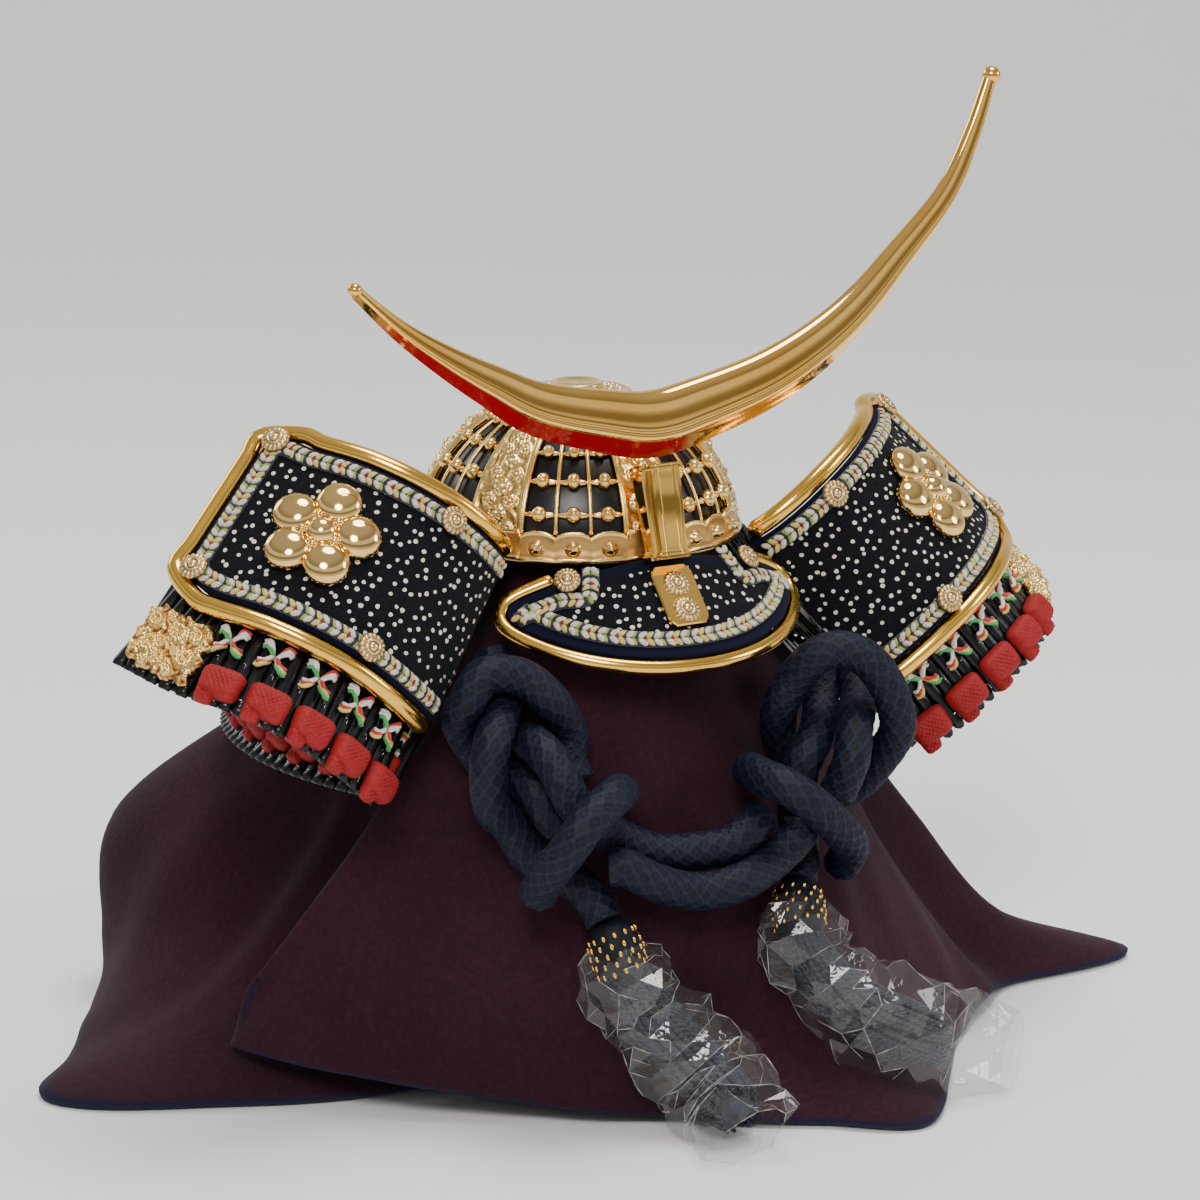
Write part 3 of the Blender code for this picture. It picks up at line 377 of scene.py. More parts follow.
cordRoutes = {
    "cord_left": [(-31.5, -25, 83), (-32, -29.5, 77.5), (-35.5, -36.5, 75), (-40.5, -42.5, 71.5),
                  (-42, -43.5, 66.5), (-41, -43, 59.5), (-37, -42.5, 55), (-34, -43.5, 49.5),
                  (-30, -47, 46.5), (-27, -50.5, 44.5), (-25, -53, 41), (-24.5, -55, 38.5)],
    "loop_left": [(-29.5, -47, 55), (-31, -46.5, 57.5), (-33, -44.5, 61.5), (-35, -39, 63),
                  (-37, -34, 64.5), (-39.5, -32, 68.3), (-42.8, -34, 73.8), (-42.6, -37.2, 78.8),
                  (-39, -37.5, 82.6), (-32.5, -39, 81.5), (-28, -41.5, 77), (-24, -40.5, 70.5),
                  (-24.5, -41.5, 65.5), (-24, -43.5, 62)],
    "link_upper": [(-31, -37, 69), (-32.5, -44.5, 70), (-31.5, -49.5, 67), (-30, -52.5, 62),
                   (-26.5, -53.5, 57), (-20, -50, 53), (-13.5, -52, 49.5), (-7, -54.5, 49),
                   (0.5, -56, 49.5), (5.5, -56, 52), (8.5, -54, 53)],
    "link_lower": [(-24, -56, 49), (-21.5, -57.5, 49), (-16.5, -59, 46), (-8, -59.5, 43),
                   (0, -61.5, 44), (9.5, -58, 46), (15, -57.5, 50), (15.5, -57, 53)],
    "wrap_left": [(-20.5, -53.5, 62), (-25, -59, 63), (-31.5, -62, 60.5), (-35.5, -62, 56),
                  (-37, -58, 51), (-37, -52.5, 45)],
    "cord_right": [(29.5, -39, 78.5), (29.5, -40.5, 73.5), (28, -44, 69.5), (23, -50.5, 66),
                   (18.5, -52.5, 61), (19, -50, 53), (19.5, -50.5, 47), (18.2, -53, 42.8),
                   (16.7, -55, 40)],
    "hanger_right": [(23.5, -57, 56), (26, -58, 63), (28.5, -55, 68), (34, -47.5, 70.5),
                     (37.5, -40, 74)],
    "loop_right": [(23.5, -42, 57.5), (19.5, -43, 64.5), (18, -45.5, 71), (20, -47.5, 76.5),
                   (22.5, -50.5, 81), (26.5, -52.5, 82.5), (31, -55, 80.5), (34.5, -57, 75),
                   (37, -56.5, 67), (36, -52, 60), (33.5, -48.5, 55), (29.5, -46, 52.5)],
    "wrap_right": [(9, -49.5, 61), (8, -56.5, 61.5), (10, -61.8, 60.6), (14.5, -64, 57),
                   (21, -62, 51), (26, -58, 46), (27, -53.5, 41)],
}


def cordFinish():
    finish, tree, shader = newFinish("navyBraid", (0.012, 0.018, 0.045), 0.6, 0.0,
                                     Sheen_Weight=0.02, Sheen_Roughness=0.4, Specular_IOR_Level=0.25)
    shader.inputs["Sheen Tint"].default_value = (0.25, 0.32, 0.5, 1)
    tint = addNode(tree, "ShaderNodeAttribute", attribute_name="tint").outputs["Fac"]
    fuzz = noise(tree, coords(tree), 1500, 3)
    # tint is the braid relief height: the colour is painted darker in the grooves and lighter on the strand crowns
    # (painted shade and highlight), with random fibre noise
    lift = doMath(tree, "MULTIPLY_ADD", fuzz.outputs["Fac"], 0.4, doMath(tree, "MULTIPLY", tint, 0.55))
    tone = ramp(tree, lift, [(0.15, (0.0006, 0.0008, 0.0026)), (0.55, (0.0026, 0.0036, 0.0125)),
                             (0.85, (0.0085, 0.012, 0.034))])
    tree.links.new(tone, shader.inputs["Base Color"])
    bumpInto(tree, shader, fuzz.outputs["Fac"], 0.12 * mm, 0.7)
    return finish


def braidRelief(along, turns, look):
    run = along / mm / look["twist"] * 2 * math.pi * 2
    one = np.cos(look["strands"] / 2 * turns + run)
    two = np.cos(look["strands"] / 2 * turns - run)
    over = np.cos(look["strands"] * turns / 2) * np.cos(run)
    return np.where(over > 0, np.abs(one), np.abs(two)) * 2 - 1


navyBraid = cordFinish()


def makeCord(name, route):
    look = cordLook
    path = smoothPath(np.array(route) * mm, look["spacing"] * mm)
    radius = look["radius"] * mm
    heights = []

    def relief(along, turns):
        bumps = braidRelief(along, turns, look)
        heights.append(bumps)
        return bumps * look["weave"] * mm

    mesh = tubeMesh(name, path, radius - 0.1 * mm, look["sides"], relief)
    # the relief height goes into tint, for the painted shade in the braid's grooves
    setAttribute(mesh, "tint", np.concatenate(heights) * 0.5 + 0.5)
    return addPiece(name + "_braid", mesh, navyBraid, instead=name), path


cordPieces = {}
for name, route in cordRoutes.items():
    cordPieces[name] = makeCord(name, route)
print("cords are laid")


# Copies of one shape on given places, by Geometry Nodes

def copiesTree():
    tree = bpy.data.node_groups.new("copiesOnPlaces", "GeometryNodeTree")
    face = tree.interface
    for label, kind in (("Geometry", "NodeSocketGeometry"), ("Shape", "NodeSocketObject"),
                        ("Size", "NodeSocketFloat"), ("Material", "NodeSocketMaterial")):
        face.new_socket(label, in_out="INPUT", socket_type=kind)
    face.new_socket("Geometry", in_out="OUTPUT", socket_type="NodeSocketGeometry")
    source = tree.nodes.new("NodeGroupInput").outputs
    sink = tree.nodes.new("NodeGroupOutput")
    shape = addNode(tree, "GeometryNodeObjectInfo", {"Object": source["Shape"]}, transform_space="ORIGINAL")
    turn = addNode(tree, "GeometryNodeInputNamedAttribute", {"Name": "turn"}, data_type="FLOAT_VECTOR")
    stretch = addNode(tree, "GeometryNodeInputNamedAttribute", {"Name": "stretch"}, data_type="FLOAT_VECTOR")
    spin = addNode(tree, "FunctionNodeEulerToRotation", {"Euler": turn.outputs["Attribute"]})
    scale = addNode(tree, "ShaderNodeVectorMath", {0: stretch.outputs["Attribute"], "Scale": source["Size"]},
                    operation="SCALE")
    copies = addNode(tree, "GeometryNodeInstanceOnPoints", {
        "Points": source["Geometry"], "Instance": shape.outputs["Geometry"],
        "Rotation": spin.outputs["Rotation"], "Scale": scale.outputs["Vector"]})
    real = addNode(tree, "GeometryNodeRealizeInstances", {"Geometry": copies.outputs["Instances"]})
    painted = addNode(tree, "GeometryNodeSetMaterial", {"Geometry": real.outputs["Geometry"],
                                                        "Material": source["Material"]})
    tree.links.new(painted.outputs["Geometry"], sink.inputs["Geometry"])
    return tree


copiesOnPlaces = copiesTree()


def copiesMesh(name, shapeMesh, places, finish, size=1.0):
    shape = bpy.data.objects.new(name + "Shape", shapeMesh)
    bpy.context.scene.collection.objects.link(shape)
    points = bpy.data.meshes.new(name)
    points.from_pydata([tuple(p["at"]) for p in places], [], [])
    turns, stretches = [], []
    for place in places:
        up = unit(np.asarray(place["up"], float))
        ahead = np.asarray(place["ahead"], float)
        ahead = unit(ahead - up * (ahead @ up))
        turns.append(Matrix(np.array([ahead, np.cross(up, ahead), up]).T.tolist()).to_euler())
        stretches.append(place.get("stretch", (1, 1, 1)))
    for label, values in (("turn", turns), ("stretch", stretches)):
        layer = points.attributes.new(label, "FLOAT_VECTOR", "POINT")
        layer.data.foreach_set("vector", np.array([tuple(v) for v in values], np.float32).ravel())
    if "tint" in places[0]:
        setAttribute(points, "tint", [place["tint"] for place in places])
    rough = bpy.data.objects.new(name, points)
    bpy.context.scene.collection.objects.link(rough)
    modifier = rough.modifiers.new("copies", "NODES")
    modifier.node_group = copiesOnPlaces
    values = {"Shape": shape, "Size": size, "Material": finish}
    for item in copiesOnPlaces.interface.items_tree:
        if item.in_out == "INPUT" and item.name in values:
            modifier[item.identifier] = values[item.name]
    made = plainMesh(rough, name)
    bpy.data.objects.remove(shape, do_unlink=True)
    for label in ("turn", "stretch"):
        if label in made.attributes:
            made.attributes.remove(made.attributes[label])
    made.shade_smooth()
    return made


def turnedMesh(name, profile, sides):
    rings = [[(r * math.cos(a), r * math.sin(a), h)
              for a in np.linspace(0, 2 * math.pi, sides, endpoint=False)] for r, h in profile]
    mesh = gridMesh(name, rings, closedAcross=True)
    return facesOut(mesh)


def sphereMesh(name, across, down, radius=1.0):
    profile = [(radius * math.sin(t), radius * math.cos(t)) for t in np.linspace(0, math.pi, down + 1)]
    return turnedMesh(name, profile, across)


# Finishes

brightGilt = goldFinish("brightGilt", (0.98, 0.58, 0.1), (0.3, 0.1, 0.02), 0.17, 0.02)
castGilt = goldFinish("castGilt", (0.98, 0.68, 0.24), (0.2, 0.055, 0.01), 0.22, 0.05, pits=0.3)
paleGilt = goldFinish("paleGilt", (0.93, 0.7, 0.34), (0.2, 0.08, 0.02), 0.22, 0.02, pits=0.3)
mirrorGold = goldFinish("mirrorGold", (1.0, 0.6, 0.14), (0.4, 0.15, 0.03), 0.07, 0.004)
champagneGold = goldFinish("champagneGold", (1.0, 0.67, 0.24), (0.4, 0.2, 0.08), 0.09, 0.004)


def lacquerFinish():
    finish, tree, shader = newFinish("blackLacquer", (0.004, 0.004, 0.005), 0.3, 0.0, Coat_Weight=0.05,
                                     Specular_IOR_Level=0.3, Coat_Roughness=0.22)
    wave = noise(tree, coords(tree), 220, 2).outputs["Fac"]
    tree.links.new(doMath(tree, "MULTIPLY_ADD", wave, 0.16, 0.2), shader.inputs["Roughness"])
    bumpInto(tree, shader, wave, 0.05 * mm, 0.4)
    return finish


def feltFinish():
    finish, tree, shader = newFinish("dottedFelt", (0.01, 0.01, 0.014), 0.95, 0.0, Specular_IOR_Level=0.12,
                                     Sheen_Weight=0.04, Sheen_Roughness=0.5)
    place = addNode(tree, "ShaderNodeUVMap", uv_map="UVMap").outputs["UV"]
    wobble = noise(tree, place, 900, 2)
    pushed = addNode(tree, "ShaderNodeVectorMath", {0: wobble.outputs["Color"], "Scale": 0.0004},
                     operation="SCALE")
    moved = addNode(tree, "ShaderNodeVectorMath", {0: place, 1: pushed.outputs["Vector"]}, operation="ADD")
    cells = addNode(tree, "ShaderNodeTexVoronoi", {"Vector": moved.outputs["Vector"], "Scale": 430.0,
                                                   "Randomness": 0.72}, voronoi_dimensions="2D")
    size = addNode(tree, "ShaderNodeSeparateColor", {"Color": cells.outputs["Color"]}).outputs["Red"]
    edge = doMath(tree, "MULTIPLY_ADD", size, 0.05, 0.15)
    dot = doMath(tree, "LESS_THAN", cells.outputs["Distance"], edge)
    inner = doMath(tree, "LESS_THAN", addNode(tree, "ShaderNodeAttribute", attribute_name="edging")
                   .outputs["Fac"], 0.5)
    dot = doMath(tree, "MULTIPLY", dot, inner)
    fibre = noise(tree, coords(tree), 2600, 3).outputs["Fac"]
    ground = ramp(tree, fibre, [(0.3, (0.0015, 0.0015, 0.003)), (0.75, (0.009, 0.009, 0.013))])
    band = addNode(tree, "ShaderNodeMix", {"Factor": inner, 6: (0.003, 0.004, 0.016, 1), 7: ground},
                   data_type="RGBA")
    cream = ramp(tree, fibre, [(0.25, (0.5, 0.45, 0.34)), (0.7, (0.86, 0.82, 0.7))])
    tone = addNode(tree, "ShaderNodeMix", {"Factor": dot, 6: band.outputs[2], 7: cream}, data_type="RGBA")
    tree.links.new(tone.outputs[2], shader.inputs["Base Color"])
    height = doMath(tree, "MULTIPLY_ADD", dot, 0.6, fibre)
    bumpInto(tree, shader, height, 0.15 * mm, 0.7)
    return finish


def threadFinish(name, stops, scale=1900, sheen=0.3, rough=0.75):
    finish, tree, shader = newFinish(name, (0.5, 0.5, 0.5), rough, 0.0, Sheen_Weight=sheen)
    tint = addNode(tree, "ShaderNodeAttribute", attribute_name="tint").outputs["Fac"]
    tone = ramp(tree, tint, stops, "CONSTANT")
    fuzz = noise(tree, coords(tree), scale, 3).outputs["Fac"]
    shade = ramp(tree, fuzz, [(0.25, (0.62, 0.62, 0.62)), (0.7, (1, 1, 1))])
    mixed = addNode(tree, "ShaderNodeMix", {"Factor": 1.0, 6: tone, 7: shade}, data_type="RGBA",
                    blend_type="MULTIPLY")
    tree.links.new(mixed.outputs[2], shader.inputs["Base Color"])
    bumpInto(tree, shader, fuzz, 0.1 * mm, 0.6)
    return finish


blackLacquer = lacquerFinish()
dottedFelt = feltFinish()
braidTints = [(0.0, (0.7, 0.64, 0.5)), (0.2, (0.66, 0.52, 0.12)), (0.4, (0.3, 0.36, 0.07)),
              (0.6, (0.42, 0.012, 0.01)), (0.8, (0.004, 0.005, 0.016))]
braidThreads = threadFinish("braidThreads", braidTints)
redSilk = threadFinish("redSilk", [(0.0, (0.34, 0.0008, 0.0018)), (0.5, (0.25, 0.0005, 0.0014))], 1500, 0.0, 0.7)
navyEdge = threadFinish("navyEdge", [(0.0, (0.008, 0.012, 0.035)), (0.5, (0.02, 0.026, 0.06))])


# The turned-out flaps and what is on them

guard = {"roll": 2.7, "frontAngle": 57, "topRadius": 0.0326566, "topHeight": 0.0988, "slope": 49.0,
         "baseHeight": 0.098, "height": 52.9, "lames": 3}
flap = {"turn": 63.5, "slope": 41.7, "height": 34.8, "reach": 37.3, "sweep": 16.7, "rise": 21.6,
        "blend": 0.45, "wall": 1.6, "rimRadius": 1.75, "margin": 2.3, "edging": 2.5}
flapProfile = [(0.00, 0.00, 0.00), (-0.02, 0.20, -0.06), (0.06, 0.37, 0.07), (0.20, 0.46, 0.28),
               (0.38, 0.41, 0.51), (0.57, 0.21, 0.70), (0.74, -0.11, 0.83), (0.89, -0.52, 0.90),
               (1.00, -1.00, 1.00)]
clearance = 0.3 * mm


def slopeWay(turn, slope):
    turn, slope = math.radians(turn), math.radians(slope)
    return np.array([math.cos(slope) * math.sin(turn), -math.cos(slope) * math.cos(turn), -math.sin(slope)])


guardWay = slopeWay(guard["frontAngle"], guard["slope"])
flapWay = slopeWay(flap["turn"], flap["slope"])
guardRoll = np.array(Matrix.Rotation(math.radians(guard["roll"]), 3, "Y"))
guardBase = np.array([0, 0, guard["baseHeight"]])


def rolled(point):
    return guardRoll @ (np.asarray(point) - guardBase) + guardBase


def guardPlace(angle, distance, inward=0.0):
    slope = math.radians(guard["slope"])
    radius = guard["topRadius"] + distance * math.cos(slope) - inward * math.sin(slope)
    height = guard["topHeight"] - distance * math.sin(slope) - inward * math.cos(slope)
    return polar(radius, angle, height)


def flapSurface(across, down):
    out, forward, rise = readTable(flapProfile, across)
    blend = min(max(across / flap["blend"], 0.0), 1.0)
    blend *= blend * (3 - 2 * blend)
    way = unit(guardWay * (1 - blend) + flapWay * blend)
    return (np.array([out * flap["reach"], -forward * flap["sweep"], rise * flap["rise"]])
            + way * down * flap["height"]) * mm, way


def flapPlace(side, across, down, depth=0.0):
    step = 0.01
    middle, way = flapSurface(across, down)
    normal = unit(np.cross(way, flapSurface(across + step, down)[0] - flapSurface(across - step, down)[0]))
    point = guardPlace(guard["frontAngle"], 0) + middle - normal * depth
    mirror = np.array([side, 1, 1])
    return rolled(point * mirror), guardRoll @ (normal * mirror)


flapEnd = np.linalg.norm(flapPlace(1, 1.0, 0)[0] - flapPlace(1, 0.9, 0)[0]) / 0.1 / mm


def flapDistances(across, down):
    out = (1 - across) * flapEnd
    return min(out, down * flap["height"], (1 - down) * flap["height"])


def makeFlap(side, word):
    acrosses = np.concatenate([np.linspace(0, 0.4, 36), np.linspace(0.41, 1, 70)])
    downs = np.linspace(0, 1, 41)
    corner = 0.09

    def trimmed(down):
        edge = min(down, 1 - down)
        return 1.0 if edge > corner else 1 - 0.09 * (1 - math.sqrt(max(0, 1 - (1 - edge / corner) ** 2)))

    grid, edging = [], []
    for down in downs:
        grid.append([flapPlace(side, across * trimmed(down), down)[0] for across in acrosses])
        edging.append([1.0 if flapDistances(across * trimmed(down), down) < flap["margin"] - 0.2 else 0.0
                       for across in acrosses])
    grid = np.array(grid)
    reach = lengthsAlong(grid[20])
    if side > 0:
        grid, edging = grid[::-1], edging[::-1]
    mesh = gridMesh("flap", grid, lambda r, c: (reach[c] + (0.2 if side > 0 else 0.0),
                                                downs[r] * flap["height"] * mm))
    setAttribute(mesh, "edging", np.array(edging))
    mesh = walled(mesh, "flap_" + word + "_felt", flap["wall"] * mm, -1.0)
    addPiece("flap_" + word + "_felt", mesh, dottedFelt, instead="flap_" + word)


def besideFlap(side, across, share, step, out):
    point, normal = flapPlace(side, across, share, flap["wall"] / 2 * mm)
    along = flapPlace(side, across + step[0], share + step[1])[0]
    outwards = np.cross(normal, along - flapPlace(side, across - step[0], share - step[1])[0])
    outwards *= np.sign(outwards @ (point - flapPlace(side, 0.6, 0.5)[0]))
    return point + unit(outwards) * out


def makeFlapRim(side, word):
    out = flap["rimRadius"] * mm + clearance
    top = [besideFlap(side, across, 0, (0.01, 0), out) for across in np.linspace(0.1, 0.93, 14)]
    foot = [besideFlap(side, across, 1, (0.01, 0), out) for across in np.linspace(0.16, 0.93, 13)]
    outer = [besideFlap(side, 1, share, (0, 0.01), out) for share in np.linspace(0.05, 0.95, 7)]
    path = smoothPath(top + outer + foot[::-1], 1.4 * mm)
    radii = np.full(len(path), flap["rimRadius"] * mm)
    radii[0] *= 0.5
    radii[-1] *= 0.5
    addPiece("flap_rim_" + word + "_gilt", tubeMesh("rim", path, radii, 20), brightGilt,
             instead="flap_rim_" + word)


# Braid: a navy ground with a run of plump V-shaped stitches in turn

stitch = {"width": 3.2, "height": 0.8, "lean": 0.78, "ground": 0.35,
          "order": ((0.1, 1.0), (0.9, 0.45), (0.3, 1.0), (0.7, 0.4), (0.1, 1.1), (0.9, 0.45), (0.5, 0.8))}


def stitchMesh():
    halves = []
    for side in (-1, 1):
        half = sphereMesh("half", 8, 6)
        long = stitch["width"] * 0.3
        half.transform(Matrix.Diagonal((0.56, long, stitch["height"] * 0.62, 1)))
        half.transform(Matrix.Rotation(side * stitch["lean"], 4, "Z"))
        half.transform(Matrix.Translation((-0.5, side * stitch["width"] * 0.235, stitch["height"] * 0.3)))
        halves.append(half)
    return joined(halves, "stitch")


def makeBraid(name, node, placeAt, route):
    fine = []
    for spot in route:
        point, normal = placeAt(*spot)
        fine.append(np.concatenate([point, normal]))
    fine = np.array(fine)
    walked = lengthsAlong(fine[:, :3])
    places, tints, widths = [], [], []
    at = 0.4
    while at < walked[-1] / mm - 0.4:
        tint, width = stitch["order"][len(places) % len(stitch["order"])]
        places.append((at + width / 2) * mm)
        tints.append(tint)
        widths.append(width)
        at += width
    even = np.stack([np.interp(places, walked, fine[:, k]) for k in range(6)], axis=1)
    ahead = np.gradient(even[:, :3], axis=0)
    copies = []
    for i, row in enumerate(even):
        copies.append({"at": row[:3] + unit(row[3:]) * 0.3 * mm, "ahead": ahead[i], "up": row[3:],
                       "tint": tints[i], "stretch": (widths[i] + 0.1, 1, 0.86 if widths[i] < 1 else 1)})
    run = copiesMesh(name, stitchMesh(), copies, braidThreads, size=mm)
    addPiece(name, run, None, instead=node)
    half = stitch["width"] / 2 * mm
    rows = []
    for across, lift in ((-1, 0.0), (-0.96, stitch["ground"]), (0.96, stitch["ground"]), (1, 0.0)):
        line = []
        for i, row in enumerate(even):
            normal = unit(row[3:])
            beside = unit(np.cross(normal, ahead[i]))
            line.append(row[:3] + beside * across * half + normal * (clearance * 0.7 + lift * mm))
        rows.append(line)
    ground = gridMesh(name + "_ground", np.array(rows).transpose(1, 0, 2), closedAcross=True, capped=True)
    addPiece(name + "_ground", facesOut(ground), navyEdge)


def flapBraidRoute():
    inside = flap["margin"] / flap["height"]
    acrossIn = 1 - flap["margin"] / flapEnd
    turnIn = 0.045
    acrosses = np.linspace(0.17, acrossIn - turnIn, 60)
    route = [(a, inside) for a in acrosses]
    for t in np.linspace(0.1, 0.9, 6) * math.pi / 2:
        route.append((acrossIn - turnIn + turnIn * math.sin(t), inside + 0.07 * (1 - math.cos(t))))
    route += [(acrossIn, share) for share in np.linspace(inside + 0.07, 0.93 - inside, 24)]
    for t in np.linspace(0.1, 0.9, 6) * math.pi / 2:
        route.append((acrossIn - turnIn + turnIn * math.cos(t), 1 - inside - 0.07 * (1 - math.sin(t))))
    return route + [(a, 1 - inside) for a in acrosses[::-1]]


# Rivets with a domed centre, a ring and a fluted edge

rivetSize = {"radius": 2.7, "height": 1.3, "flutes": 16, "sides": 64}


def rivetMesh(name="rivet"):
    rings, deep = [], []
    turns = np.linspace(0, 2 * math.pi, rivetSize["sides"], endpoint=False)
    profile = [(0.0, 1.0, 0), (0.1, 0.99, 0), (0.2, 0.93, 0), (0.28, 0.8, 0), (0.32, 0.66, 0.9),
               (0.37, 0.63, 1.0), (0.42, 0.76, 0.2), (0.48, 0.8, 0), (0.54, 0.74, 0.2), (0.58, 0.62, 0.8),
               (0.66, 0.64, 0.3), (0.78, 0.62, 0.1), (0.88, 0.5, 0.1), (0.96, 0.28, 0.2), (1.0, 0.0, 0.4)]
    for share, height, pit in profile:
        fluted = max(0, min(1, (share - 0.56) / 0.1)) * (1 if share < 0.97 else 0.3)
        wave = 0.5 + 0.5 * np.cos(turns * rivetSize["flutes"])
        radius = rivetSize["radius"] * share * (1 + 0.045 * fluted * (wave - 0.5))
        up = rivetSize["height"] * (height - 0.16 * fluted * (1 - wave))
        rings.append(np.stack([radius * np.cos(turns), radius * np.sin(turns), up + 0 * turns], axis=1))
        deep.append(np.clip(pit + 0.75 * fluted * (1 - wave) ** 2, 0, 1))
    mesh = gridMesh(name, rings, closedAcross=True)
    setAttribute(mesh, "deep", np.array([d + 0 * turns for d in deep]))
    work = bmesh.new()
    work.from_mesh(mesh)
    bmesh.ops.remove_doubles(work, verts=work.verts, dist=1e-6)
    rim = [e for e in work.edges if e.is_boundary]
    bmesh.ops.holes_fill(work, edges=rim)
    bmesh.ops.recalc_face_normals(work, faces=work.faces)
    work.to_mesh(mesh)
    work.free()
    return mesh


def makeRivets(name, places, nodes, size=1.0):
    copies = [{"at": np.array(p) + unit(np.array(n)) * lift * mm, "ahead": ahead, "up": n}
              for p, n, ahead, lift in places]
    mesh = copiesMesh(name, rivetMesh(), copies, paleGilt, size=mm * size)
    addPiece(name, mesh, None, instead=nodes)


def flapRivets(side, word):
    inside = flap["margin"] / flap["height"]
    acrossIn = 1 - flap["margin"] / flapEnd
    spots = ((acrossIn, inside), (0.46, inside), (acrossIn, 1 - inside), (0.47, 1 - inside))
    places = []
    for spot in spots:
        point, normal = flapPlace(side, *spot)
        places.append((point, normal, (0, 0.3, 1), 1.5))
    makeRivets("flap_rivets_" + word, places, [f"flap_rivet_{word}_{i}" for i in (1, 2, 3, 4)])


# Plum blossom: five polished domes round a smaller heart, with five small links

plum = {"petal": 4.35, "petalHeight": 2.9, "circle": 6.7, "heart": 3.1, "heartHeight": 3.2, "link": 0.85,
        "across": 0.725, "down": 0.48}


def domeCopy(radius, height):
    profile = [(radius * math.sin(t), height * math.cos(t) ** 0.9) for t in np.linspace(0, math.pi / 2, 15)]
    profile += [(radius * 0.985, -0.5), (0, -0.5)]
    return turnedMesh("dome", profile, 40)


def makePlum(side, word):
    centre, normal = flapPlace(side, plum["across"], plum["down"])
    ahead = unit(flapPlace(side, plum["across"] + 0.02, plum["down"])[0] - centre)
    below = np.cross(normal, ahead)
    meshes = []

    def lay(template, out, turn, lift):
        spot = out * mm * math.cos(turn) / flapEnd / mm
        drop = out * math.sin(turn) * (1 if np.dot(below, flapWay) > 0 else -1) / flap["height"]
        point, up = flapPlace(side, plum["across"] + spot, plum["down"] + drop * side)
        run = unit(ahead - up * (ahead @ up))
        frameNow = Matrix(np.array([run, np.cross(up, run), up]).T.tolist()).to_4x4()
        template.transform(Matrix.Diagonal((mm, mm, mm, 1)))
        template.transform(frameNow)
        template.transform(Matrix.Translation(point + up * lift * mm))
        meshes.append(template)

    for i in range(5):
        lay(domeCopy(plum["petal"], plum["petalHeight"]), plum["circle"], math.radians(90 + 72 * i), 0.75)
        lay(sphereMesh("link", 14, 8, plum["link"]), plum["circle"] * 0.5, math.radians(126 + 72 * i), 2.0)
    lay(domeCopy(plum["heart"], plum["heartHeight"]), 0, 0, 0.75)
    addPiece("plum_" + word + "_gold", joined(meshes, "plum"), champagneGold,
             instead="plum_" + word)


for side, word in ((-1, "left"), (1, "right")):
    makeFlap(side, word)
    makeFlapRim(side, word)
    makeBraid("flap_braid_run_" + word, "flap_braid_" + word,
              lambda across, share, s=side: flapPlace(s, across, share), flapBraidRoute())
    flapRivets(side, word)
    makePlum(side, word)
print("flaps are dressed")


# The laced slats under each flap

slat = {"setback": 4.0, "overhang": 4.0, "height": 19.6, "pitch": 2.6, "wall": 1.4, "start": 0.14,
        "scallop": 0.7, "glint": 0.86}
knot = {"drop": 6.4, "pitch": 8.4, "inset": 2.6, "count": 5, "long": 2.5, "thick": 0.62}
redBlock = {"drop": 15.0, "pitch": 8.9, "inset": 5.2, "count": 5, "size": 0.96, "long": 8.4, "tall": 6.4,
            "thick": 2.9, "twill": 1.05, "relief": 0.42}
fitting = {"length": 15.5, "height": 12.8, "drop": 11.4, "seatAcross": 9, "seatDown": 8}
# silver for the small L-shaped painted glints on the lacquered slats
silverGlint = goldFinish("silverGlint", (0.75, 0.77, 0.8), (0.2, 0.2, 0.2), 0.18, 0.004)
yarnThreads = threadFinish("yarnThreads", [(0.0, (0.85, 0.83, 0.76)), (0.25, (0.05, 0.42, 0.09)),
                                           (0.5, (0.62, 0.02, 0.02)), (0.75, (0.75, 0.62, 0.12))], 2200)


def slatMesh(width, height, wall):
    rows = []
    for share in np.linspace(-0.5, 0.5, 13):
        half = width / 2 * (0.96 if abs(share) < 0.47 else 0.8)
        line = []
        for across, lift in ((-1, 0), (-1, 0.55), (-0.8, 0.85), (-0.35, 1.0), (0.35, 1.0), (0.8, 0.85),
                             (1, 0.55), (1, 0)):
            tuck = slat["scallop"] * (1 - math.cos(across * math.pi / 2)) if share > 0.49 else 0
            dip = 0.12 * math.exp(-((share - 0.22) / 0.03) ** 2) + 0.12 * math.exp(-((share + 0.2) / 0.03) ** 2)
            line.append((across * half, share * height - tuck, (lift - dip * lift) * wall))
        rows.append(line)
    return facesOut(gridMesh("slat", rows, closedAcross=True, capped=True))


# Small silver L-shaped bars laid on the slats as painted glints
def glintMesh():
    meshes = []
    for x, y, wide, tall in ((-0.55, 0, 0.2, 1.5), (-0.1, -0.7, 1.0, 0.2)):
        meshes.append(placed(sphereMesh("bar", 6, 4), (wide / 2, tall / 2, 0.12), (x, y, 0)))
    return joined(meshes, "glint")


def knotMesh():
    meshes = []
    tints = (0.1, 0.35, 0.6, 0.1, 0.85)
    for quarter in range(4):
        sx, sy = (1, 1, -1, -1)[quarter], (1, -1, 1, -1)[quarter]
        for strand in range(3):
            steps = np.linspace(0, 1, 9)
            off = (strand - 1) * knot["thick"] * 0.95
            path = [(sx * (0.35 + knot["long"] * t + off * 0.25), sy * (0.2 + 2.3 * math.sin(t * 2.1) * 0.8 + off),
                     0.5 + 0.75 * math.sin(math.pi * t) + 0.22 * math.sin(9 * t + 2 * strand)) for t in steps]
            radii = [knot["thick"] * (0.5 + 0.22 * math.sin(math.pi * t)) for t in steps]
            mesh = tubeMesh("strand", path, radii, 7)
            setAttribute(mesh, "tint", np.full(len(mesh.vertices), tints[(quarter + 2 * strand) % 5]))
            meshes.append(mesh)
    return joined(meshes, "knot")


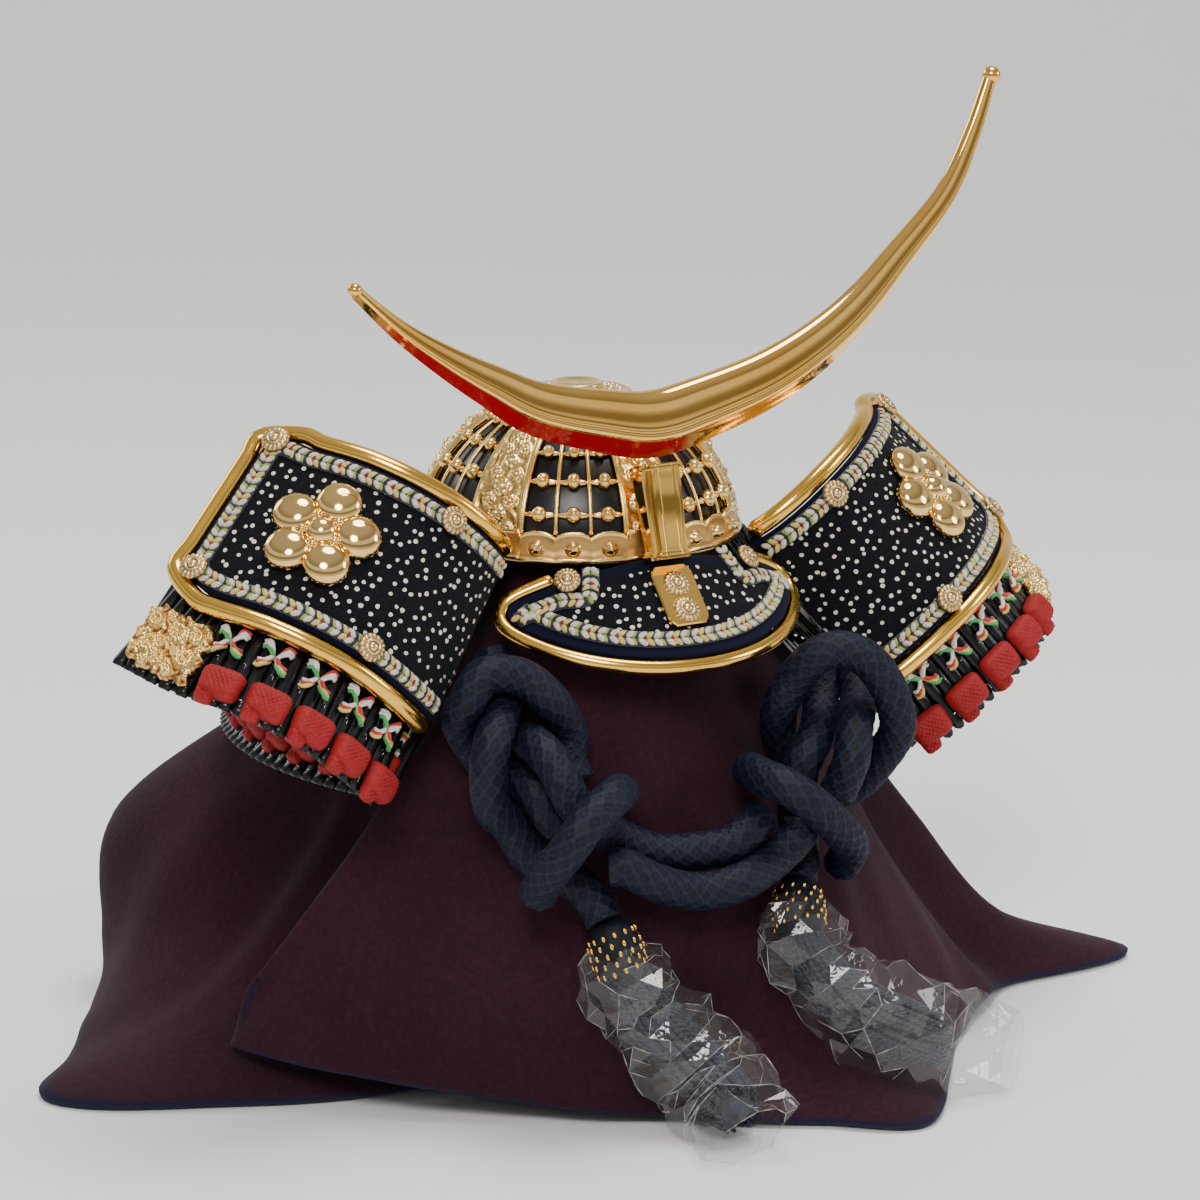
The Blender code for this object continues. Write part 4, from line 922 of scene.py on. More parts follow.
def blockMesh():
    meshes = []
    for cx, cy, long, tall, thick, power in ((0, 0, redBlock["long"], redBlock["tall"], redBlock["thick"], 4.6),
                                             (2.0, 3.1, 3.8, 3.4, 1.9, 4.0)):
        rings = []
        turns = np.linspace(0, 2 * math.pi, 60, endpoint=False)
        for share in np.concatenate([np.linspace(0.001, 0.9, 18), [0.95, 0.985, 1.0]]):
            c, s = np.cos(turns), np.sin(turns)
            edge = (np.abs(c) ** power + np.abs(s) ** power) ** (-1 / power)
            x, y = edge * c * share * long / 2, edge * s * share * tall / 2
            x = x * (1 - 0.06 * (y / tall * 2))
            twill = 0.5 + 0.5 * np.sin((x + 0.8 * y) / redBlock["twill"] * 2 * math.pi)
            cross = 0.5 + 0.5 * np.sin((x - 1.1 * y) / redBlock["twill"] * 2 * math.pi)
            z = thick * max(1 - share ** 4.5, 0) ** 0.5 + redBlock["relief"] * (twill * cross) * (1 - share ** 8)
            rings.append(np.stack([x + cx, y + cy, z], axis=1))
        meshes.append(facesOut(gridMesh("block", rings, closedAcross=True, capped=True)))
    return joined(meshes, "block")


def fittingRelief(x, y):
    rosettes = ((-4.6, 1.6, 2.7, 9), (-0.6, -2.6, 2.9, 11), (3.6, 1.9, 2.8, 10), (-4.4, -3.4, 2.1, 8),
                (0.3, 3.6, 2.3, 8), (4.9, -2.9, 2.2, 9), (-6.6, -0.8, 1.6, 7), (6.7, 0.4, 1.7, 7),
                (1.6, 0.2, 1.5, 6), (-2.0, 0.9, 1.3, 6), (-2.6, -5.2, 1.4, 7), (2.2, -5.2, 1.6, 7),
                (-2.6, 4.9, 1.5, 7), (3.0, 5.2, 1.4, 7), (6.9, 3.6, 1.5, 7), (-7.0, 4.2, 1.4, 7),
                (7.0, -4.6, 1.3, 6), (-6.9, -4.8, 1.3, 6))
    curls = 0.28 + 0.2 * np.sin(2.4 * x + 1.7 * np.sin(1.9 * y)) * np.sin(2.1 * y + 1.3 * np.sin(2.2 * x))
    height = curls.copy()
    for cx, cy, size, petals in rosettes:
        d = np.hypot(x - cx, y - cy) / size
        turn = np.arctan2(y - cy, x - cx)
        petal = 0.55 + 0.45 * np.abs(np.cos(turn * petals / 2)) ** 0.6
        flower = (1 - d ** 2.2) * (0.35 + 0.75 * petal * np.clip((d - 0.18) / 0.3, 0, 1))
        flower = np.where(d < 0.3, 0.1 + 0.85 * (1 - (d / 0.3) ** 2), flower)
        height = np.maximum(height, np.where(d < 1, flower, 0))
    return height


def fittingMesh(placeAt):
    turns = np.linspace(0, 2 * math.pi, 180, endpoint=False)
    rings, deep = [], []
    for share in np.concatenate([np.linspace(0.0005, 1, 52), [1.0]]):
        c, s = np.cos(turns), np.sin(turns)
        edge = (np.abs(c) ** 6 + np.abs(s) ** 6) ** (-1 / 6)
        rough = 1 + 0.045 * np.sin(11 * turns + 0.6) + 0.035 * np.sin(17 * turns) + 0.02 * np.sin(29 * turns)
        x = edge * c * share * rough * fitting["length"] / 2
        y = edge * s * share * rough * fitting["height"] / 2
        height = fittingRelief(x, y)
        side = np.clip((1 - share) / 0.06, 0, 1) ** 0.5
        rings.append([placeAt(px, py, 0.3 + (0.55 + 1.5 * h) * e)
                      for px, py, h, e in zip(x, y, height, side + 0 * turns)])
        deep.append(np.clip(1.35 - 2.6 * height, 0, 1) * side)
    rings.append([placeAt(px * 0.97, py * 0.97, 0.1) for px, py in zip(x, y)])
    deep.append(0 * turns)
    mesh = gridMesh("fitting", rings, closedAcross=True, capped=True)
    setAttribute(mesh, "deep", np.array(deep))
    return facesOut(mesh)


def makeLowerLame(side, word):
    over = slat["overhang"] / flapEnd
    fine = np.linspace(slat["start"], 1 + over, 200)
    middle = 1.266
    line = np.array([flapPlace(side, a, middle, slat["setback"] * mm)[0] for a in fine])
    walked = lengthsAlong(line) / mm
    count = round(walked[-1] / slat["pitch"])
    pitch = walked[-1] / count

    def acrossAt(distance):
        return float(np.interp(distance, walked, fine))

    def seat(distance, drop, lift):
        across = acrossAt(distance)
        point, normal = flapPlace(side, across, 1 + drop / flap["height"], slat["setback"] * mm)
        ahead = flapPlace(side, across + 0.01, 1 + drop / flap["height"], slat["setback"] * mm)[0] - point
        down = flapPlace(side, across, 1.1 + drop / flap["height"], slat["setback"] * mm)[0] - point
        return point + normal * lift * mm, unit(ahead), normal, unit(down)

    def place(distance, drop, lift, **more):
        point, ahead, normal, down = seat(distance, drop, lift)
        run = ahead if np.cross(normal, ahead) @ down > 0 else -ahead
        return {"at": point, "ahead": run, "up": normal, **more}

    slats, glints = [], []
    for i in range(count):
        at = (i + 0.5) * pitch
        slats.append(place(at, slat["height"] * 0.473, -slat["wall"]))
        glints.append(place(at, slat["height"] * slat["glint"], -0.02, stretch=(1, 1, 1)))
        if i % 2:
            glints.append(place(at + 0.2, slat["height"] * 0.5, -0.05, stretch=(0.8, 0.7, 1)))
    shape = slatMesh(pitch, slat["height"] * 1.03, slat["wall"])
    slatRun = copiesMesh("slat_lame_run_" + word, shape, slats, blackLacquer, size=mm)
    backRows = [[seat(d, drop, -slat["wall"] - 0.02)[0] for d in np.linspace(0, walked[-1], 60)]
                for drop in (-0.5, slat["height"] - 1.4)]
    backing = walled(gridMesh("backing", backRows if side > 0 else backRows[::-1]), "backing", 0.3 * mm, 0)
    addPiece("slat_lame_run_" + word, slatRun, None, instead="slat_lame_" + word)
    addPiece("slat_backing_" + word, backing, blackLacquer)
    addPiece("slat_glints_" + word, copiesMesh("glints", glintMesh(), glints, silverGlint, size=mm), None)
    fitted = walked[-1] - fitting["length"] / 2 - 0.2
    last = fitted - fitting["length"] / 2
    knots = [place(last - knot["inset"] - i * knot["pitch"], knot["drop"], 0.1) for i in range(knot["count"])
             if last - knot["inset"] - i * knot["pitch"] > 2]
    knotRun = copiesMesh("cross_lacing_run_" + word, knotMesh(), knots, yarnThreads, size=mm)
    addPiece("cross_lacing_run_" + word, knotRun, None, instead="cross_lacing_" + word)
    blocks = [place(last - redBlock["inset"] - i * redBlock["pitch"], redBlock["drop"], 0.05, tint=0.1)
              for i in range(redBlock["count"]) if last - redBlock["inset"] - i * redBlock["pitch"] > 1]
    blockRun = copiesMesh("red_lacing_run_" + word, blockMesh(), blocks, redSilk, size=mm * redBlock["size"])
    addPiece("red_lacing_run_" + word, blockRun, None, instead="red_lacing_" + word)

    plateAt = np.linspace(-1, 1, 7)
    plateSeats = []
    for down in fitting["drop"] + plateAt * fitting["seatDown"]:
        spots = [seat(fitted + u * fitting["seatAcross"], down, 0) for u in plateAt]
        plateSeats.append([np.concatenate([spot[0], spot[2]]) for spot in spots])
    plateSeats = np.array(plateSeats)

    def plate(x, y, lift):
        u, v = (x / fitting["seatAcross"] + 1) * 3, (y / fitting["seatDown"] + 1) * 3
        i, j = int(min(max(u, 0), 5.999)), int(min(max(v, 0), 5.999))
        u, v = u - i, v - j
        mixed = ((plateSeats[j, i] * (1 - u) + plateSeats[j, i + 1] * u) * (1 - v)
                 + (plateSeats[j + 1, i] * (1 - u) + plateSeats[j + 1, i + 1] * u) * v)
        return mixed[:3] + mixed[3:] * lift * mm

    addPiece("corner_fitting_relief_" + word, fittingMesh(plate), castGilt,
             instead="corner_fitting_" + word)


for side, word in ((-1, "left"), (1, "right")):
    makeLowerLame(side, word)
print("lower lames are laced")


# The peak: dotted felt, its braid, its rim and two rivets

peak = {"slope": 46.0, "halfAngle": 47, "depth": 14.6, "endLift": 6.0, "wall": 1.5, "rimRadius": 1.25,
        "margin": 3.6, "endPower": 2.8, "startRadius": 0.0326790, "edging": 2.2, "rivetAngle": 31.5,
        "rivetDown": 4.6, "hookAngle": 24.5}


def peakPlace(angle, down, depth=0.0):
    slope, turn = math.radians(peak["slope"]), math.radians(angle)
    normal = np.array([math.sin(slope) * math.sin(turn), -math.sin(slope) * math.cos(turn), math.cos(slope)])
    point = polar(peak["startRadius"] + down * mm * math.cos(slope), angle,
                  guard["topHeight"] - down * mm * math.sin(slope))
    return point - normal * depth, normal


def peakEdge(share):
    lift = peak["endLift"] * share * share
    top, bottom = lift * 1.1, peak["depth"] / math.cos(math.radians(peak["slope"])) - lift
    half = (bottom - top) / 2 * max(1 - abs(share) ** peak["endPower"], 0) ** (1 / peak["endPower"])
    return peak["halfAngle"] * share, (top + bottom) / 2 - half, (top + bottom) / 2 + half


def peakOutline(grow, spacing, first=-1.0, last=1.0):
    shares = np.sin(np.linspace(-math.pi / 2, math.pi / 2, 61))
    corners = [peakEdge(s)[:2] for s in shares if s > first]
    corners += [peakEdge(s)[::2] for s in shares[::-1]]
    corners += [peakEdge(s)[:2] for s in shares if s < last]
    reach = np.array([peak["startRadius"] / mm + down * math.cos(math.radians(peak["slope"]))
                      for angle, down in corners])
    flat = np.array([(math.radians(angle) * r, down) for (angle, down), r in zip(corners, reach)])
    along = np.gradient(flat, axis=0)
    along /= np.linalg.norm(along, axis=1)[:, None]
    flat = flat + np.stack([along[:, 1], -along[:, 0]], axis=1) * grow
    even = evenPath(np.column_stack([flat, np.degrees(flat[:, 0] / reach)]), spacing)
    return [(row[2], row[1]) for row in even]


def makePeak():
    shares = np.sin(np.linspace(-math.pi / 2 + 0.02, math.pi / 2 - 0.02, 121))
    levels = np.linspace(1, 0, 41)
    grid, edging = [], []
    outline = np.array([(math.radians(a) * 40, d) for a, d in peakOutline(0, 0.8)])
    for level in levels:
        row = []
        for share in shares:
            angle, top, bottom = peakEdge(share)
            down = top + (bottom - top) * level
            row.append(peakPlace(angle, down)[0])
            far = np.min(np.hypot(outline[:, 0] - math.radians(angle) * 40, outline[:, 1] - down))
            edging.append(1.0 if far < peak["edging"] else 0.0)
        grid.append(row)
    spots = [[(math.radians(peakEdge(s)[0]) * 0.04, (peakEdge(s)[1] + (peakEdge(s)[2] - peakEdge(s)[1]) * v) * mm)
              for s in shares] for v in levels]
    mesh = gridMesh("peak", grid, lambda r, c: spots[r][c])
    setAttribute(mesh, "edging", edging)
    addPiece("peak_felt", walled(mesh, "peak_felt", peak["wall"] * mm), dottedFelt,
             instead="peak")
    path = []
    for angle, down in peakOutline(peak["rimRadius"] + 0.45, 1.2, 0.72, -0.72):
        path.append(peakPlace(angle, down, peak["wall"] / 2 * mm)[0])
    radii = np.full(len(path), peak["rimRadius"] * 1.08 * mm)
    radii[0] *= 0.5
    radii[-1] *= 0.5
    addPiece("peak_rim_gilt", tubeMesh("rim", path, radii, 20), brightGilt, instead="peak_rim")
    around = peakOutline(-peak["margin"], 0.8, 0.72, -0.72)
    top = around[0][1]
    hook = [(peak["hookAngle"], 0.9), (peak["hookAngle"], 2.0), (peak["hookAngle"] + 0.5, top - 1.2),
            (peak["hookAngle"] + 2.0, top - 0.2)]
    sign = 1 if around[0][0] > 0 else -1
    route = [(sign * a, d) for a, d in hook] + around + [(-sign * a, d) for a, d in hook[::-1]]
    makeBraid("peak_braid_run", "peak_braid", peakPlace, route)
    places = []
    for sign in (-1, 1):
        point, normal = peakPlace(sign * peak["rivetAngle"], peak["rivetDown"])
        places.append((point, normal, (1, 0, 0), 1.5))
    makeRivets("peak_rivets", places, ["peak_rivet_left", "peak_rivet_right"], 0.93)


makePeak()


# The bowl: black lacquer under gilt panels, ribs, rivets and a scalloped band

bowl = {"base": 98.0, "radius": 29.9, "height": 26.8, "panelAngle": 21.6, "bays": 3, "bandHeight": 5.7,
        "rivetRows": (8.7, 14.3, 18.9, 22.4), "ribRadius": 0.42, "finialRadius": 10.5, "discRadius": 5.1}


def bowlPlace(angle, height, lift=0.0):
    slope = math.acos(min(max(height / bowl["height"], 0), 1))
    normal = np.array([math.sin(slope) / bowl["radius"] * math.sin(math.radians(angle)),
                       -math.sin(slope) / bowl["radius"] * math.cos(math.radians(angle)),
                       math.cos(slope) / bowl["height"]])
    normal = unit(normal)
    point = polar(bowl["radius"] * math.sin(slope), angle, bowl["base"] + bowl["height"] * math.cos(slope))
    return (point + normal * lift) * mm, normal


def makeShell():
    turns = np.linspace(-180, 180, 97)[:-1]
    rows = []
    for lift, steps in ((-0.75, np.linspace(0.002, 1, 25)), (-2.6, np.linspace(1, 0.002, 15))):
        for t in steps:
            height = bowl["height"] * math.cos(t * math.pi / 2)
            rows.append([bowlPlace(a, height, lift)[0] for a in turns])
    mesh = facesOut(gridMesh("bowl", rows, closedAcross=True, capped=True))
    addPiece("bowl_shell", mesh, blackLacquer, instead="bowl")


def panelRelief(u, v):
    height = 0.25 + 0.22 * np.sin(46 * v + 2.2 * np.sin(4.2 * u)) * np.cos(5.4 * u + 1.8 * np.sin(30 * v))
    flowers = [(0.0 if row % 2 else side * 0.45, 0.05 + 0.078 * row, 0.44 if row % 2 else 0.34)
               for row in range(12) for side in (-1, 1)]
    for cu, cv, size in flowers:
        du, dv = u - cu, (v - cv) * 6.6
        d = np.hypot(du, dv) / size
        petal = 0.5 + 0.5 * np.abs(np.cos(np.arctan2(dv, du) * 2.5))
        flower = (1 - d ** 2) * (0.4 + 0.8 * petal * np.clip((d - 0.2) / 0.3, 0, 1))
        flower = np.where(d < 0.3, 0.9 * (1 - (d / 0.3) ** 2) + 0.15, flower)
        height = np.maximum(height, np.where(d < 1, flower, 0))
    return height


def makeCage():
    half = bowl["panelAngle"] / 2
    bay = (60 - bowl["panelAngle"]) / bowl["bays"]
    low, high = bowl["bandHeight"] - 5.2, 25.0
    meshes, bars = [], []
    for i in range(6):
        middle = 60 * i
        rows, deep = [], []
        levels = np.linspace(high, low, 150)
        acrosses = np.concatenate([[-1.0, -0.999], np.linspace(-0.985, 0.985, 38), [0.999, 1.0]])
        slopes = np.arccos(levels / bowl["height"])
        down = (slopes - slopes[0]) / (slopes[-1] - slopes[0])
        carved = panelRelief(acrosses[None, :], down[:, None])
        for height, cut in zip(levels, carved):
            line, pits = [], []
            for u, lift in zip(acrosses, cut):
                edge = 1 if abs(u) > 0.86 else 0
                relief = 0.95 if edge else 0.25 + 0.95 * float(lift)
                if abs(u) == 1.0:
                    relief = -0.6
                line.append(bowlPlace(middle + half * u, height, relief)[0])
                pits.append(0 if edge else min(max(1.0 - 1.5 * relief, 0), 1))
            rows.append(line)
            deep.append(pits)
        mesh = gridMesh("panel", rows)
        setAttribute(mesh, "deep", np.array(deep))
        meshes.append(mesh)
        edges = [middle - half, middle + half] + [middle + half + bay * k for k in (1, 2)]
        for angle in edges:
            path = [bowlPlace(angle, h, 0.05)[0] for h in np.linspace(25.5, bowl["bandHeight"] - 0.5, 22)]
            bar = tubeMesh("rib", path, bowl["ribRadius"] * mm, 8)
            setAttribute(bar, "deep", np.zeros(len(bar.vertices)))
            bars.append(bar)
    cage = joined(meshes + bars, "cage")
    addPiece("cage_panels_and_ribs", cage, castGilt, instead="rib_cage")
    studs = []
    for i in range(6):
        for k in range(bowl["bays"]):
            angle = 60 * i + half + bay * (k + 0.5)
            for height in bowl["rivetRows"]:
                point, normal = bowlPlace(angle, height, -0.45)
                side = np.cross([0, 0, 1.0], normal)
                wide = np.hypot(point[0], point[1]) / mm * math.radians(bay)
                shrink = 1.0 if height < 18 else 0.85
                studs.append({"at": point, "ahead": side, "up": normal,
                              "stretch": (wide / 5.6, shrink * 1.22, shrink * 1.15)})
    addPiece("bowl_studs", copiesMesh("bowl_studs", studMesh(), studs, castGilt, size=mm), None)


def studMesh():
    ball = placed(sphereMesh("ball", 16, 10, 1.3), shift=(0, 0, 0.75))
    tip = placed(sphereMesh("tip", 10, 6, 0.35), shift=(0, 0, 1.9))
    strap = placed(sphereMesh("strap", 12, 8), (2.75, 0.6, 0.5), (0, 0, 0.25))
    return joined([ball, tip, strap], "stud")


def makeBand():
    bay = (60 - bowl["panelAngle"]) / bowl["bays"]
    half = bowl["panelAngle"] / 2
    turns = np.linspace(0, 360, 721)[:-1]
    rows = []
    steps = ((-0.3, 0.0), (0.5, 0.0), (1.2, 0.0), (1.35, 0.14), (1.2, 0.2), (0.75, 0.24),
             (0.72, 0.55), (0.72, 0.84), (1.0, 0.9), (1.0, 0.97), (0.6, 1.0), (-0.4, 1.0))
    for lift, share in steps:
        line = []
        for a in turns:
            local = (a + half) % 60 - half
            arch = 0.0
            if local > half:
                arch = abs(math.sin(math.pi * (local - half) / bay)) ** 0.55
            top = bowl["bandHeight"] - 1.15 + 1.3 * arch if local > half else bowl["bandHeight"] + 0.2
            line.append(bowlPlace(a, max(0.02, top * share), lift + 0.25)[0])
        rows.append(line)
    mesh = gridMesh("band", rows, closedAcross=True)
    setAttribute(mesh, "deep", np.repeat([0, 0, 0, 0, 0, 0.8, 0.5, 0.7, 0, 0, 0, 0], len(turns)))
    mesh.flip_normals()
    addPiece("base_band_scalloped", mesh, castGilt, instead="base_band")
    studs = []
    for i in range(6):
        for k in range(bowl["bays"]):
            point, normal = bowlPlace(60 * i + half + bay * (k + 0.5), 2.7, 0.75)
            studs.append({"at": point, "ahead": np.cross([0, 0, 1.0], normal), "up": normal})
    stud = turnedMesh("boss", [(0, 1.75), (0.25, 1.7), (0.4, 1.45), (0.8, 1.25), (1.15, 0.8), (1.25, 0.3),
                               (1.55, 0.25), (1.62, 0.0), (1.5, -0.2), (0, -0.2)], 20)
    addPiece("band_bosses", copiesMesh("band_bosses", stud, studs, castGilt, size=mm), None)


def makeFinial():
    base, top = bowl["base"], bowl["base"] + bowl["height"] + 0.6
    seat = base + bowl["height"] * math.cos(math.asin(bowl["finialRadius"] / bowl["radius"])) + 0.6
    rise = top - seat
    disc = bowl["discRadius"]
    profile = [(0.001, top + 0.75), (disc * 0.72, top + 0.75), (disc * 0.8, top + 1.05), (disc * 0.93, top + 1.1),
               (disc, top + 0.95), (disc, top + 0.15), (disc * 0.9, top - 0.05), (disc * 1.1, seat + rise * 0.9),
               (bowl["finialRadius"] * 0.75, seat + rise * 0.62), (bowl["finialRadius"] * 0.94, seat + 1.2),
               (bowl["finialRadius"], seat + 0.5), (bowl["finialRadius"], seat), (bowl["finialRadius"] * 0.7, seat),
               (0.001, top - 1.0)]
    rings = [[(r * math.cos(a), r * math.sin(a), h) for a in np.linspace(0, 2 * math.pi, 64, endpoint=False)]
             for r, h in profile]
    mesh = facesOut(gridMesh("finial", rings, closedAcross=True))
    mesh.transform(Matrix.Scale(mm, 4))
    addPiece("finial_gilt", mesh, castGilt, instead="finial")
    beads = []
    for share, count in ((0.62, 26), (0.78, 32), (0.94, 38)):
        radius = bowl["finialRadius"] * share
        height = seat + rise * (1 - share ** 2) * 0.98 + 0.25
        for k in range(count):
            turn = 360 * (k + 0.5 * (count % 4 == 0)) / count
            beads.append({"at": polar(radius * mm, turn, height * mm), "ahead": (0, 0, 1),
                          "up": polar(1, turn, 0.8)})
    addPiece("finial_beads", copiesMesh("finial_beads", sphereMesh("bead", 9, 6, 0.72), beads, paleGilt, size=mm),
             None)


makeShell()
makeCage()
makeBand()
makeFinial()
print("peak and bowl are made")


# The box that the crest plugs into, and its tab over the peak

holder = {"base": (0, -35.35, 99.1), "lean": 16.0, "height": 17.6, "topWidth": 8.4, "baseWidth": 7.2, "depth": 5.0,
          "tabStart": 2.32, "tabEnd": 15.12, "tabWidth": 8.6, "chamfer": 1.3}


def makeHolder():
    lean = math.radians(holder["lean"])
    rise = np.array([0, math.sin(lean), math.cos(lean)])
    back = np.array([0, math.cos(lean), -math.sin(lean)])
    outline = [(-0.5, 0.5), (-0.5, -0.22), (-0.47, -0.3), (-0.385, -0.3), (-0.36, -0.34), (-0.35, -0.47),
               (-0.32, -0.5), (-0.19, -0.5), (-0.175, -0.47), (-0.155, -0.47), (-0.14, -0.5), (0.2, -0.5),
               (0.215, -0.47), (0.235, -0.47), (0.25, -0.5), (0.32, -0.5), (0.35, -0.47), (0.36, -0.34),
               (0.385, -0.3), (0.47, -0.3), (0.5, -0.22), (0.5, 0.5)]
    steps = [(0.0, 1.16, 1.1), (0.5, 1.18, 1.12), (1.0, 1.16, 1.1), (1.25, 1.05, 1.04), (1.5, 1.05, 1.04),
             (1.7, 1.0, 1.0), (holder["height"] - 1.1, 1.0, 1.0), (holder["height"] - 0.9, 1.04, 1.03),
             (holder["height"] - 0.2, 1.04, 1.03), (holder["height"], 1.0, 1.0)]
    rings = []
    for height, wide, deep in steps:
        share = height / holder["height"]
        width = (holder["baseWidth"] + (holder["topWidth"] - holder["baseWidth"]) * share) * wide
        depth = holder["depth"] * (0.8 + 0.2 * share) * deep
        centre = np.array(holder["base"]) + rise * height
        rings.append([(centre + np.array([x * width, 0, 0]) + back * y * depth) * mm for x, y in outline])
    mesh = facesOut(gridMesh("holder", rings, closedAcross=True, capped=True))
    mesh.set_sharp_from_angle(angle=math.radians(24))
    addPiece("crest_holder_gold", mesh, mirrorGold, instead="crest_holder")
    start, end, half = holder["tabStart"], holder["tabEnd"], holder["tabWidth"] / 2
    rows = []
    for down in [start, start + 0.01] + list(np.linspace(start + 0.2, end - 0.2, 16)) + [end - 0.01, end]:
        near = min(down - start, end - down)
        wide = half - max(0.0, holder["chamfer"] - near)
        high = 1.2 if near > 0.15 else 1.2 - 0.25 * (0.15 - near) / 0.15
        line = []
        for across, lift in ((-wide, 0.3), (-wide, high - 0.25), (-wide + 0.25, high), (wide - 0.25, high),
                             (wide, high - 0.25), (wide, 0.3)):
            point, normal = peakPlace(0, down)
            line.append(point + (np.array([across, 0, 0]) + normal * lift) * mm)
        rows.append(line)
    mesh = facesOut(gridMesh("tab", rows, closedAcross=True, capped=True))
    mesh.set_sharp_from_angle(angle=math.radians(30))
    addPiece("crest_tab_gold", mesh, mirrorGold, instead="crest_tab")
    places = []
    for share in (0.32, 0.76):
        point, normal = peakPlace(0, start + (end - start) * share)
        places.append((point, normal, (1, 0, 0), 1.15))
    makeRivets("tab_rivets", places, ["tab_rivet_upper", "tab_rivet_lower"], 0.98)


makeHolder()


# The crescent crest: a ridged section along both horns, with a painted red reflection under its lower edge

crest = {"lean": 10.0, "width": 12.9, "thickness": 5.2, "reachLong": 79, "reachShort": 58, "riseLong": 59,
         "riseShort": 29.5, "tip": 1.8, "seat": (0, -30.5, 116.02), "stations": 61, "smoothing": 150,
         "reflectionFrom": -55, "reflectionTo": 7, "reflectionFadeIn": 4, "reflectionFadeOut": 2.5, "reflectionCorners": (17, 20), "seatGap": 0.3,
         "forward": 1.4, "thinnest": 0.3, "shortTip": 0.75, "tipLead": 0.6, "tipAngles": (48, 172),
         "tipRings": 14, "sharpAngle": 38}
longHorn = [(0.0, 0.0, 1.0), (0.12, 0.008, 1.00), (0.34, 0.086, 0.88), (0.54, 0.258, 0.67), (0.70, 0.437, 0.51),
            (0.852, 0.669, 0.39), (0.938, 0.823, 0.31), (1.000, 1.000, 0.24)]
shortHorn = [(0.0, 0.0, 1.0), (0.16, 0.013, 0.96), (0.41, 0.200, 0.76), (0.565, 0.352, 0.63), (0.72, 0.536, 0.43),
             (0.87, 0.743, 0.25), (1.00, 1.000, 0.18)]
crestSection = [(0.50, -0.12), (0.485, 0.05), (0.45, 0.2), (0.38, 0.32), (0.28, 0.4), (0.17, 0.44), (0.06, 0.46),
                (-0.02, 0.458), (-0.06, 0.452), (-0.085, 0.462), (-0.105, 0.478), (-0.12, 0.47), (-0.135, 0.462),
                (-0.16, 0.478), (-0.19, 0.486), (-0.22, 0.46), (-0.245, 0.4), (-0.26, 0.34), (-0.34, 0.12),
                (-0.42, -0.12), (-0.50, -0.36), (-0.46, -0.44), (-0.30, -0.48), (0.10, -0.50), (0.36, -0.42),
                (0.46, -0.28)]


def crestFinish():
    finish, tree, shader = newFinish("crestGold", (0.98, 0.68, 0.24), 0.08, 1.0)
    redReflection = addNode(tree, "ShaderNodeAttribute", attribute_name="tint").outputs["Fac"]
    place = coords(tree)
    cloudy = noise(tree, place, 60, 3).outputs["Fac"]
    tone = ramp(tree, cloudy, [(0.3, (0.96, 0.52, 0.1)), (0.7, (1.0, 0.61, 0.17))])
    # tint paints a dark red reflection, non-metallic, on the crest's lower edge from the short horn to the middle
    mixed = addNode(tree, "ShaderNodeMix", {"Factor": redReflection, 6: tone, 7: (0.3, 0.002, 0.004, 1)}, data_type="RGBA")
    tree.links.new(mixed.outputs[2], shader.inputs["Base Color"])
    tree.links.new(doMath(tree, "SUBTRACT", 1.0, redReflection), shader.inputs["Metallic"])
    tree.links.new(doMath(tree, "MULTIPLY_ADD", cloudy, 0.07, 0.05), shader.inputs["Roughness"])
    bumpInto(tree, shader, noise(tree, place, 1100, 2).outputs["Fac"], 0.004 * mm, 0.4)
    return finish


